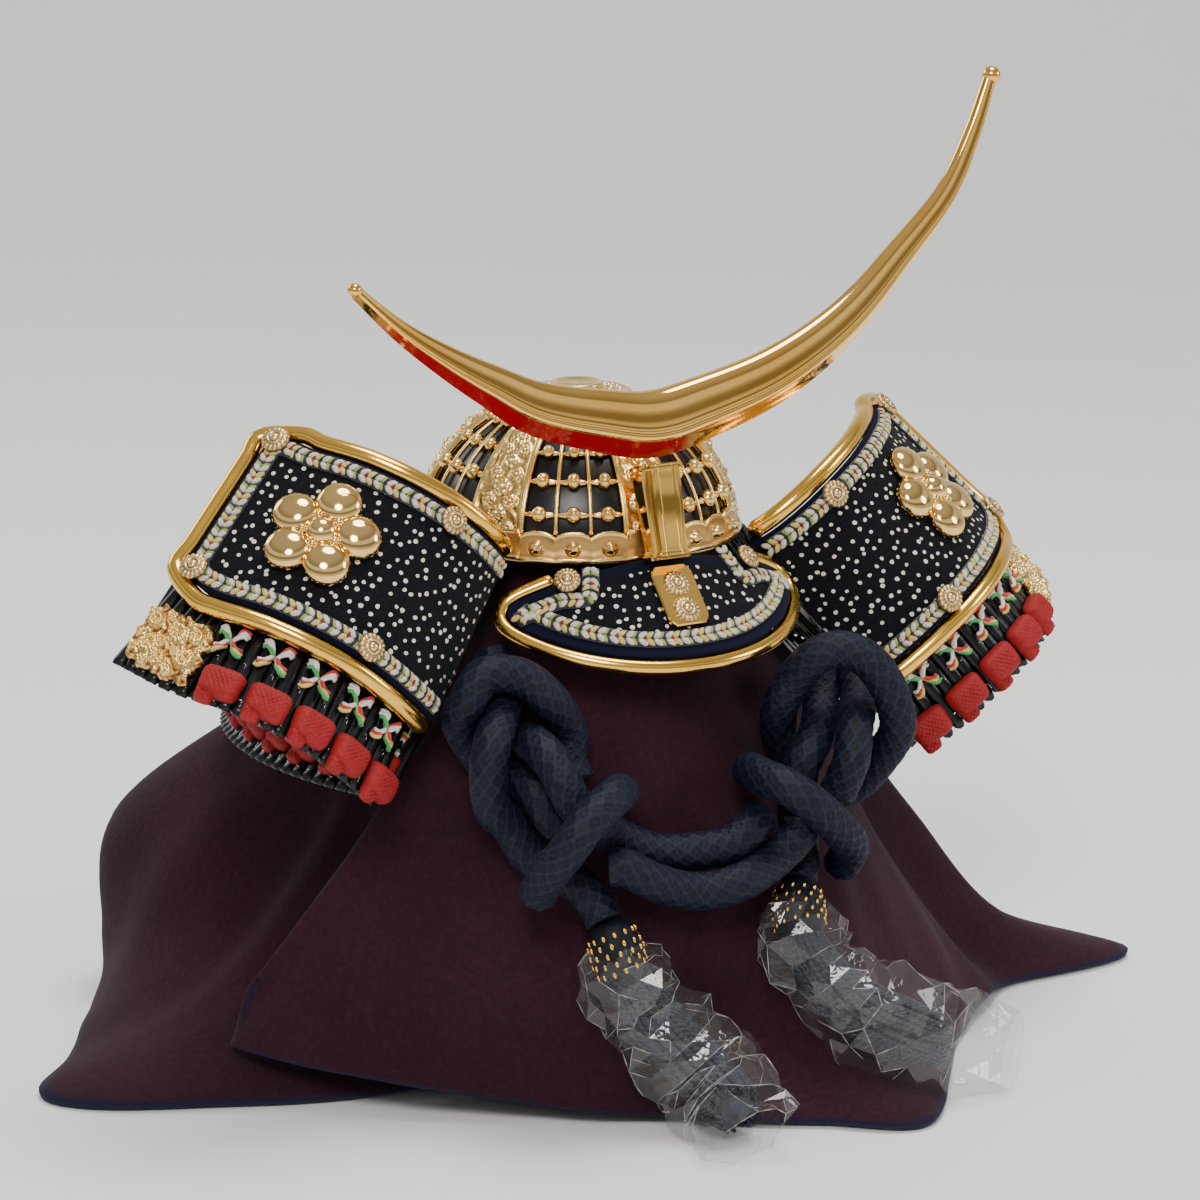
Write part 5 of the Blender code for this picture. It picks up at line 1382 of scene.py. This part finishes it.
def makeCrest():
    lean = math.radians(crest["lean"])
    up = np.array([0, math.sin(lean), math.cos(lean)])
    out = np.array([0, -math.cos(lean), math.sin(lean)])
    middle = np.array(crest["seat"]) + up * (crest["width"] / 2 + crest["seatGap"]) + out * crest["forward"]

    def acrossAt(along):
        across = np.cross(out, along)
        return across * np.sign(across @ up)

    def horn(rows, side, reach, rise):
        stations = []
        for share in np.linspace(0, 1, crest["stations"]):
            across, lift, width = readTable(rows, share)
            stations.append((side * across * reach, lift * rise, width * crest["width"]))
        return stations

    left = horn(shortHorn, -1, crest["reachShort"], crest["riseShort"])[1:][::-1]
    right = horn(longHorn, 1, crest["reachLong"], crest["riseLong"])
    stations = np.array(left + right)
    for again in range(crest["smoothing"]):
        stations[1:-1, 1:] = stations[1:-1, 1:] * 0.5 + (stations[:-2, 1:] + stations[2:, 1:]) * 0.25
    places = np.array([middle + np.array([x, 0, 0]) + up * z for x, z, width in stations])
    sections, tints = [], []
    firstReflected, lastReflected = crest["reflectionCorners"]
    reflectedCorners = [1.0 if firstReflected <= i <= lastReflected else 0.0 for i in range(len(crestSection))]
    for i, (x, z, width) in enumerate(stations):
        along = unit(places[min(i + 1, len(places) - 1)] - places[max(i - 1, 0)])
        across = acrossAt(along)
        thickness = crest["thickness"] * (crest["thinnest"] + (1 - crest["thinnest"]) * width / crest["width"])
        sections.append([places[i] + across * share * width + out * deep * thickness
                         for share, deep in crestSection])
        # painted red reflection: full between the fades, only on the lower-edge corners of the section
        reflectionShare = (min(max((crest["reflectionTo"] - x) / crest["reflectionFadeOut"], 0), 1)
                    * min(max((x - crest["reflectionFrom"]) / crest["reflectionFadeIn"], 0), 1))
        tints.append([reflectionShare * low for low in reflectedCorners])
    for ends in (-1, 1):
        near, far = (places[1], places[0]) if ends < 0 else (places[-2], places[-1])
        along = unit(far - near)
        across = acrossAt(along)
        radius = crest["tip"] * (1 if ends > 0 else crest["shortTip"])
        ball = []
        for angle in np.linspace(*crest["tipAngles"], crest["tipRings"]):
            centre = far + along * radius * (crest["tipLead"] - math.cos(math.radians(angle)))
            size = radius * math.sin(math.radians(angle))
            ball.append([centre + size * (across * math.cos(a) + out * math.sin(a))
                         for a in (math.atan2(deep, share) for share, deep in crestSection)])
        blank = [[0.0] * len(crestSection)] * len(ball)
        sections = ball[::-1] + sections if ends < 0 else sections + ball
        tints = blank + tints if ends < 0 else tints + blank
    mesh = gridMesh("crest", np.array(sections) * mm, closedAcross=True, capped=True)
    setAttribute(mesh, "tint", np.array(tints))
    facesOut(mesh, mergeBelow=0)
    mesh.shade_smooth()
    mesh.set_sharp_from_angle(angle=math.radians(crest["sharpAngle"]))
    addPiece("crest_crescent", mesh, crestFinish(), instead="crest")


makeCrest()
print("holder and crest are made")


# The neck guard: three lames of narrow lacquered slats, each laced with knots and red blocks

neck = {"pitch": 3.1, "wall": 1.4, "overlap": 1.5, "step": 0.6, "endAngle": 0.8, "glintAt": 0.86, "knotAt": 0.42,
        "blockAt": 0.68, "lacedEvery": 3, "knotSize": 0.9, "blockSize": 0.86}


def makeNeckGuard():
    slope = math.radians(guard["slope"])
    first = guard["frontAngle"] + neck["endAngle"]
    ends = [guard["height"] * (i + 1) / guard["lames"] for i in range(guard["lames"])]
    start = 0.0
    knots, blocks = [], []
    for i, end in enumerate(ends):
        tuck = neck["wall"] + neck["step"] if i else 0.0
        span = end - start
        reach = guard["topRadius"] / mm + end * math.cos(slope)
        count = round(math.radians(360 - 2 * first) * reach / neck["pitch"])
        slats, glints = [], []
        for k in range(count):
            angle = first + (360 - 2 * first) * (k + 0.5) / count
            top = guardPlace(angle, start * mm, tuck * mm)
            foot = guardPlace(angle, end * mm, 0.0)
            down = unit(foot - top)
            around = np.array([math.cos(math.radians(angle)), math.sin(math.radians(angle)), 0])
            normal = unit(np.cross(around, down))
            normal *= np.sign(normal @ polar(1, angle, 0))
            narrow = (guard["topRadius"] / mm + (start + end) / 2 * math.cos(slope)) / reach
            base = (top + foot) / 2 - normal * neck["wall"] * mm
            slats.append({"at": rolled(base), "ahead": guardRoll @ around, "up": guardRoll @ normal,
                          "stretch": (narrow * 1.04, 1, 1)})
            # painted glint near the foot of each slat
            glint = top + (foot - top) * neck["glintAt"] + normal * 0.02 * mm
            glints.append({"at": rolled(glint), "ahead": guardRoll @ around, "up": guardRoll @ normal})
            if k % neck["lacedEvery"] == 1:
                spot = rolled(top + (foot - top) * neck["knotAt"] + normal * 0.1 * mm)
                knots.append({"at": spot, "ahead": guardRoll @ around, "up": guardRoll @ normal,
                              "stretch": (1.0, 1.0, 0.9)})
                spot = rolled(top + (foot - top) * neck["blockAt"] + normal * 0.1 * mm)
                blocks.append({"at": spot, "ahead": guardRoll @ -around, "up": guardRoll @ normal,
                               "tint": 0.1})
        slatRun = copiesMesh("neck_lame_run", slatMesh(neck["pitch"], span, neck["wall"]), slats,
                             blackLacquer, size=mm)
        addPiece(f"neck_lame_run_{i + 1}", slatRun, None, instead=f"neck_lame_{i + 1}")
        addPiece(f"neck_glints_{i + 1}", copiesMesh("neck_glints", glintMesh(), glints, silverGlint, size=mm), None)
        start = end - neck["overlap"]
    lacing = copiesMesh("neck_cross_lacing", knotMesh(), knots, yarnThreads, size=mm * neck["knotSize"])
    addPiece("neck_cross_lacing", lacing, None)
    lacing = copiesMesh("neck_red_lacing", blockMesh(), blocks, redSilk, size=mm * neck["blockSize"])
    addPiece("neck_red_lacing", lacing, None)


makeNeckGuard()
print("neck guard is laced")


# Tassels: a woven head with gold dashes, a skirt of twisted threads, a crumpled film sleeve and painted crease
# highlights

tassel = {"radius": 5.5, "threads": 46, "thread": 0.62, "dashes": 13, "sides": 48, "headEnd": 0.29,
          "headFit": 0.97, "ribs": 11, "ribDepth": 0.16, "ribTurn": 4.2, "headTint": 0.4, "dashSpan": (0.045, 0.185),
          "dashRows": 5, "dashStretch": (0.72, 0.36, 0.3), "skirtFrom": 0.235, "skirtSteps": 24, "swing": 0.05,
          "drift": 0.35, "shortest": 0.955, "wave": 0.28, "threadFit": 0.92, "threadEnd": 0.6, "coreFrom": 0.26,
          "coreDepth": 2.1}
tasselRoutes = {
    "tassel_left": [(-24.3, -55.5, 37.9), (-23.9, -56.8, 36), (-22.6, -58.7, 30), (-18.5, -61, 22),
                    (-12.5, -65.5, 13.5), (-9.5, -70.5, 8.5), (-9.5, -77, 6.8)],
    "tassel_right": [(16.4, -55.4, 39.5), (15.3, -56.9, 37.4), (13.6, -60.8, 33), (13.7, -64.8, 28),
                     (19.5, -69.3, 20), (29, -72.4, 14.2), (37, -73.6, 10.6)],
}
filmEnds = {"tassel_left": [(-11.5, -82, 6.0), (-13, -86.5, 5.6)], "tassel_right": [(44, -74.6, 8.4), (51, -76, 6.6)]}
tasselProfile = [(0.00, 0.55), (0.03, 0.78), (0.10, 0.92), (0.19, 0.86), (0.25, 0.66), (0.30, 0.78), (0.45, 0.92),
                 (0.65, 0.97), (0.85, 1.00), (1.00, 0.92)]
film = {"rings": 21, "around": 12, "jitter": 2.1, "crease": 0.055, "slide": 0.6, "endLoose": 0.35, "inward": 0.35,
        "floorGap": 0.5, "sharpTurn": 0.5, "creaseShare": 0.55}
filmWidths = [(0.0, 3.9, 3.7), (0.06, 6.5, 5.2), (0.16, 8.6, 6.3), (0.28, 7.2, 6.0), (0.42, 9.4, 6.4),
              (0.6, 10.2, 6.8), (0.8, 9.6, 6.2), (0.93, 9.0, 5.0), (1.0, 8.0, 3.4)]


def threadSilk():
    finish, tree, shader = newFinish("tasselThreads", (0.012, 0.02, 0.06), 0.5, 0.0, Sheen_Weight=0.03,
                                     Sheen_Roughness=0.4)
    spot = addNode(tree, "ShaderNodeSeparateXYZ", {"Vector": coords(tree, "UV")}).outputs
    turned = doMath(tree, "MULTIPLY_ADD", spot["Y"], 5200.0, doMath(tree, "MULTIPLY", spot["X"], 12.566))
    twist = doMath(tree, "SINE", turned)
    # the twist also sets the colour: darker in its grooves and lighter on its crowns, a painted shade and highlight
    tone = ramp(tree, doMath(tree, "MULTIPLY_ADD", twist, 0.5, 0.5), [(0.1, (0.0008, 0.0012, 0.004)),
                                                                     (0.9, (0.009, 0.015, 0.042))])
    tree.links.new(tone, shader.inputs["Base Color"])
    bumpInto(tree, shader, twist, 0.12 * mm, 0.8)
    return finish


def filmFinish():
    finish, tree, shader = newFinish("clearFilm", (0.16, 0.155, 0.15), 0.06, 0.0, Alpha=0.16,
                                     Specular_IOR_Level=1.0, IOR=2.4)
    finish.blend_method = "BLEND"
    wrinkle = noise(tree, coords(tree), 260, 3).outputs["Fac"]
    tree.links.new(doMath(tree, "MULTIPLY_ADD", wrinkle, 0.08, 0.03), shader.inputs["Roughness"])
    bumpInto(tree, shader, wrinkle, 0.5 * mm, 0.6)
    return finish


def creaseHighlightFinish():
    # near-white, half-opaque lines: painted highlights on the film's creases
    finish, tree, shader = newFinish("filmCreaseHighlights", (0.9, 0.89, 0.88), 0.15, 0.0, Alpha=0.6)
    finish.blend_method = "BLEND"
    tree.links.new(ramp(tree, noise(tree, coords(tree), 500, 2).outputs["Fac"],
                        [(0.35, (0.35, 0.34, 0.34)), (0.6, (0.95, 0.94, 0.93))]), shader.inputs["Base Color"])
    return finish


tasselThreads = threadSilk()
clearFilm = filmFinish()
filmCreaseHighlights = creaseHighlightFinish()


def tasselRadius(share):
    return np.interp(share, [row[0] for row in tasselProfile], [row[1] for row in tasselProfile])


def makeTassel(name, route, seed):
    chance = random.Random(seed)
    path = smoothPath(np.array(route) * mm, 0.5 * mm)
    ahead, side, other = pathFrames(path)
    along = lengthsAlong(path)
    shares = along / along[-1]

    def at(share, turn, out):
        k = min(int(round(share * (len(path) - 1))), len(path) - 1)
        way = math.cos(turn) * side[k] + math.sin(turn) * other[k]
        return path[k] + way * out * mm, ahead[k], way

    top = shares <= tassel["headEnd"]
    radii = np.array([tasselRadius(s) * tassel["radius"] * tassel["headFit"] * mm for s in shares[top]])

    def weave(run, turns):
        return tassel["ribDepth"] * mm * np.cos(tassel["ribs"] * turns) * np.cos(run / mm * tassel["ribTurn"])

    head = tubeMesh("head", path[top], radii, tassel["sides"], weave)
    setAttribute(head, "tint", np.full(len(head.vertices), tassel["headTint"]))
    pieces = [addPiece(name + "_head", head, navyBraid)]
    dashes = []
    for row, share in enumerate(np.linspace(*tassel["dashSpan"], tassel["dashRows"])):
        for k in range(tassel["dashes"]):
            point, way, up = at(share, 2 * math.pi * (k + 0.5 * (row % 2)) / tassel["dashes"],
                                tasselRadius(share) * tassel["radius"] + 0.02)
            dashes.append({"at": point, "ahead": way, "up": up, "stretch": tassel["dashStretch"]})
    pieces.append(addPiece(name + "_dashes", copiesMesh("dashes", sphereMesh("dash", 8, 5), dashes, brightGilt,
                                                        size=mm), None))
    strands = []
    steps = np.linspace(tassel["skirtFrom"], 1.0, tassel["skirtSteps"])
    for layer, count, depth in ((0, tassel["threads"], 0.5), (1, tassel["threads"] // 2, 1.7)):
        for k in range(count):
            turn = 2 * math.pi * (k + 0.5 * layer) / count + chance.uniform(-tassel["swing"], tassel["swing"])
            drift, sway = chance.uniform(-tassel["drift"], tassel["drift"]), chance.uniform(0, 6.3)
            long = chance.uniform(tassel["shortest"], 1.0)
            line = []
            for s in steps:
                size = tasselRadius(s) * tassel["radius"] - depth + tassel["wave"] * math.sin(9 * s + sway)
                line.append(at(min(s * long, 1), turn + drift * (s - tassel["skirtFrom"]), size)[0])
            radii = np.full(len(line), tassel["thread"] * tassel["threadFit"] * mm)
            radii[-1] *= tassel["threadEnd"]
            strands.append(tubeMesh("thread", np.array(line), radii, 6))
    low = shares > tassel["coreFrom"]
    radii = [max(0.4, tasselRadius(s) * tassel["radius"] - tassel["coreDepth"]) * mm for s in shares[low]]
    core = tubeMesh("core", path[low], np.array(radii), 16)
    skirt = joined(strands + [core], name + "_threads")
    pieces.append(addPiece(name + "_threads", skirt, tasselThreads, instead=name))
    pieces += makeSleeve(name, route, chance)
    return pieces


def makeSleeve(name, route, chance):
    path = smoothPath(np.array(route[1:] + filmEnds[name]) * mm, 0.5 * mm)
    ahead = np.gradient(path, axis=0)
    rings = []
    shares = np.linspace(0, 1, film["rings"])
    for share in shares:
        k = int(round(share * (len(path) - 1)))
        way = unit(ahead[k])
        side = unit(np.cross(way, np.array(toCamera)))
        up = np.cross(side, way)
        wide = np.interp(share, [w[0] for w in filmWidths], [w[1] for w in filmWidths])
        thick = np.interp(share, [w[0] for w in filmWidths], [w[2] for w in filmWidths])
        shift = way * chance.uniform(-film["slide"], film["slide"]) * mm
        ring = []
        for c in range(film["around"]):
            turn = 2 * math.pi * (c + 0.5 * (len(rings) % 2)) / film["around"]
            loose = 1 if 0 < share < 1 else film["endLoose"]
            grow = chance.uniform(-film["inward"], 1.0) * film["jitter"] * loose
            point = path[k] + shift + (side * (wide + grow) * math.cos(turn) + up * (thick + grow)
                                       * math.sin(turn)) * mm
            point[2] = max(point[2], film["floorGap"] * mm)
            ring.append(point)
        rings.append(ring)
    mesh = gridMesh(name + "_film", rings, closedAcross=True, smooth=False)
    work = bmesh.new()
    work.from_mesh(mesh)
    bmesh.ops.triangulate(work, faces=work.faces)
    bmesh.ops.recalc_face_normals(work, faces=work.faces)
    work.edges.ensure_lookup_table()
    # white tubes along the sharper folds and the open ends: painted crease highlights
    lines = []
    for edge in work.edges:
        sharp = len(edge.link_faces) == 2 and edge.calc_face_angle() > film["sharpTurn"]
        if (sharp and chance.random() < film["creaseShare"]) or len(edge.link_faces) == 1:
            a, b = (np.array(v.co) for v in edge.verts)
            lines.append(tubeMesh("crease", np.array([a, (a + b) / 2, b]),
                                  np.array([0.4, 1, 0.4]) * film["crease"] * mm, 4))
    work.to_mesh(mesh)
    work.free()
    sleeve = addPiece(name + "_film", mesh, clearFilm)
    creaseHighlights = addPiece(name + "_creases", joined(lines, name + "_creases"), filmCreaseHighlights)
    return [sleeve, creaseHighlights]


for seed, (name, route) in enumerate(tasselRoutes.items()):
    makeTassel(name, route, 7 + seed)
print("tassels hang in their sleeves")


# The cloth over the stand, with its folds' angles and shares of its reach

cloth = {"reach": 100.0, "headRadius": 22.5, "headBase": 98.06, "headHeight": 21.44, "gap": 1.9, "wall": 1.2,
         "hem": 1.5, "columns": 10, "rows": 64, "wave": 0.6, "flat": (0.225, 0.225)}
clothFolds = [
    (-176, -172, 0.34, 0.46, 0.60, 0.78, 0.98, 0.000), (-162, -158, 0.35, 0.46, 0.58, 0.72, 0.84, 0.000),
    (-148, -144, 0.38, 0.52, 0.76, 0.84, 0.88, 0.000), (-134, -130, 0.42, 0.62, 0.93, 0.955, 0.96, 0.000),
    (-122, -116, 0.38, 0.54, 0.80, 0.88, 0.96, 0.000), (-110, -102, 0.34, 0.46, 0.60, 0.78, 1.01, 0.000),
    (-98, -91, 0.32, 0.42, 0.52, 0.72, 1.106, 0.000), (-88, -78, 0.31, 0.39, 0.46, 0.57, 0.82, 0.000),
    (-80, -62, 0.30, 0.37, 0.41, 0.46, 0.56, 0.000), (-74, -50, 0.30, 0.36, 0.38, 0.41, 0.45, 0.004),
    (-68, -58, 0.31, 0.40, 0.45, 0.50, 0.53, 0.014), (-62, -78, 0.33, 0.46, 0.56, 0.66, 0.70, 0.050),
    (-56, -84, 0.35, 0.50, 0.63, 0.74, 0.79, 0.080), (-48, -70, 0.35, 0.48, 0.60, 0.69, 0.73, 0.070),
    (-38, -50, 0.34, 0.46, 0.56, 0.62, 0.65, 0.045), (-26, -30, 0.33, 0.45, 0.54, 0.60, 0.62, 0.015),
    (-12, -9, 0.32, 0.44, 0.53, 0.60, 0.66, 0.000), (2, 6, 0.31, 0.43, 0.53, 0.64, 0.78, 0.000),
    (14, 16, 0.31, 0.42, 0.53, 0.68, 0.905, 0.000), (28, 29, 0.31, 0.42, 0.52, 0.65, 0.82, 0.000),
    (42, 46, 0.32, 0.45, 0.56, 0.68, 0.76, 0.000), (56, 61, 0.32, 0.45, 0.58, 0.73, 0.81, 0.020),
    (67, 70, 0.32, 0.44, 0.57, 0.73, 0.89, 0.000), (78, 78, 0.33, 0.50, 0.68, 0.88, 1.18, 0.000),
    (92, 92, 0.33, 0.50, 0.66, 0.80, 0.98, 0.000), (112, 112, 0.33, 0.46, 0.58, 0.70, 0.82, 0.000),
    (134, 134, 0.34, 0.47, 0.60, 0.72, 0.86, 0.000), (156, 160, 0.35, 0.50, 0.68, 0.88, 1.12, 0.000),
]
clothLevels = [(0.84, 2), (0.63, 3), (0.37, 4), (0.12, 5), (0.0, 6)]


def crepeFinish():
    finish, tree, shader = newFinish("plumCrepe", (0.05, 0.011, 0.02), 0.9, 0.0, Sheen_Weight=0.03,
                                     Specular_IOR_Level=0.2, Sheen_Roughness=0.6)
    place = coords(tree)
    grain = noise(tree, place, 950, 4, 0.6).outputs["Fac"]
    stretched = addNode(tree, "ShaderNodeMapping", {"Vector": place, "Scale": (1.0, 1.0, 0.45)}).outputs["Vector"]
    crinkle = noise(tree, stretched, 420, 3, 0.65).outputs["Fac"]
    cloudy = noise(tree, place, 26, 3).outputs["Fac"]
    mixed = doMath(tree, "MULTIPLY_ADD", cloudy, 0.45, doMath(tree, "MULTIPLY", grain, 0.55))
    tone = ramp(tree, mixed, [(0.3, (0.009, 0.0016, 0.0046)), (0.5, (0.021, 0.0034, 0.0092)),
                              (0.72, (0.04, 0.0072, 0.0155))])
    lined = addNode(tree, "ShaderNodeAttribute", attribute_name="edging").outputs["Fac"]
    hem = addNode(tree, "ShaderNodeMix", {"Factor": lined, 6: tone, 7: (0.008, 0.009, 0.03, 1)}, data_type="RGBA")
    tree.links.new(hem.outputs[2], shader.inputs["Base Color"])
    soft = noise(tree, stretched, 55, 2, 0.4).outputs["Fac"]
    height = doMath(tree, "MULTIPLY_ADD", soft, 6.0, doMath(tree, "MULTIPLY_ADD", crinkle, 0.8, grain))
    bumpInto(tree, shader, height, 0.25 * mm, 0.6)
    return finish


def clothFold(place):
    count = len(clothFolds)
    i = math.floor(place)
    t = place - i
    picked = []
    for step in (-1, 0, 1, 2):
        turns, row = divmod(i + step, count)
        values = np.array(clothFolds[row], float)
        values[:2] += 360 * turns
        picked.append(values)
    before, here, there, after = picked
    return 0.5 * (2 * here + (there - before) * t + (2 * before - 5 * here + 4 * there - after) * t ** 2
                  + (3 * here - before - 3 * there + after) * t ** 3)


def clothPoint(fold, place, drop):
    crown = clothLevels[0][0] * bowl["base"]
    levels = [(cloth["headRadius"] + cloth["gap"], cloth["headBase"])]
    levels += [(fold[column] * cloth["reach"], height * bowl["base"]) for height, column in clothLevels]
    radius, height = readTable(levels, drop)
    hem = cloth["hem"] + fold[7] * cloth["reach"]
    height = hem + height * (1 - hem / crown)
    angle = fold[0] + (fold[1] - fold[0]) * min(1.0, max(0.0, (drop - 0.2) / 0.6))
    loose = min(max((drop - 0.25) / 0.4, 0), 1) * (1 - 0.7 * max(0.0, (drop - 0.8) / 0.2))
    radius += cloth["wave"] * loose * (math.sin(place * 5.1 + 6 * drop) + 0.6 * math.sin(place * 2.3 - 9 * drop)
                                       + 0.5 * math.sin(place * 8.7 + 14 * drop))
    return polar(radius, angle, height)


def makeCloth():
    count = len(clothFolds) * cloth["columns"]
    folds = [clothFold(c / cloth["columns"]) for c in range(count)]
    rows = []
    for turn in np.linspace(0.5, 82, 14):
        angle = math.radians(turn)
        radius = (cloth["headRadius"] + cloth["gap"]) * math.sin(angle)
        height = cloth["headBase"] + (cloth["headHeight"] + cloth["gap"]) * math.cos(angle)
        rows.append([polar(radius, fold[0], height) for fold in folds])
    for drop in np.linspace(0.02, 1.0, cloth["rows"]):
        rows.append([clothPoint(fold, c / cloth["columns"], drop) for c, fold in enumerate(folds)])
    outer = np.array(rows)
    across = np.roll(outer, -1, axis=1) - np.roll(outer, 1, axis=1)
    down = np.gradient(outer, axis=0)
    normal = np.cross(down, across)
    normal /= np.maximum(np.linalg.norm(normal, axis=2), 1e-9)[:, :, None]
    normal *= np.sign(normal[20, 0] @ np.append(outer[20, 0][:2], 0))
    inner = outer - normal * cloth["wall"]
    inner[:, :, 2] = np.maximum(inner[:, :, 2], 0.3)
    area = 0.5 * np.linalg.norm(np.cross(across[1:] / 2, np.diff(outer, axis=0)), axis=2).sum() * 2 * mm * mm
    mesh = gridMesh("cloth", np.concatenate([outer, inner[::-1]]) * mm, closedAcross=True, capped=True)
    edging = np.concatenate([np.zeros(outer.shape[:2]), np.ones(outer.shape[:2])])
    edging[len(outer) - 1] = 1
    setAttribute(mesh, "edging", edging)
    facesOut(mesh, mergeBelow=0)
    mesh.shade_smooth()
    piece = addPiece("cloth_crepe", mesh, crepeFinish(), instead="cloth")
    print("cloth area", round(area, 5))


makeCloth()


# The stand's own mesh gets a wood finish

def woodFinish():
    finish, tree, shader = newFinish("paleWood", (0.55, 0.4, 0.24), 0.5, 0.0)
    stretched = addNode(tree, "ShaderNodeMapping", {"Vector": coords(tree), "Scale": (1, 1, 0.12)})
    rings = noise(tree, stretched.outputs["Vector"], 160, 5, 0.6).outputs["Fac"]
    tone = ramp(tree, rings, [(0.3, (0.36, 0.24, 0.13)), (0.5, (0.52, 0.38, 0.23)), (0.7, (0.62, 0.48, 0.3))])
    tree.links.new(tone, shader.inputs["Base Color"])
    bumpInto(tree, shader, rings, 0.1 * mm, 0.5)
    return finish


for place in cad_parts["stand"].material_slots:
    place.material = woodFinish()


# What each cord is, from where it leaves the helmet to its far end

def pathLength(path):
    return float(np.linalg.norm(np.diff(path, axis=0), axis=1).sum())


cordExtras = {"cord_left": "wrap_left", "cord_right": "hanger_right"}
for name, (piece, path) in cordPieces.items():
    if name in cordExtras.values():
        continue
    print(name, round(pathLength(path), 4))
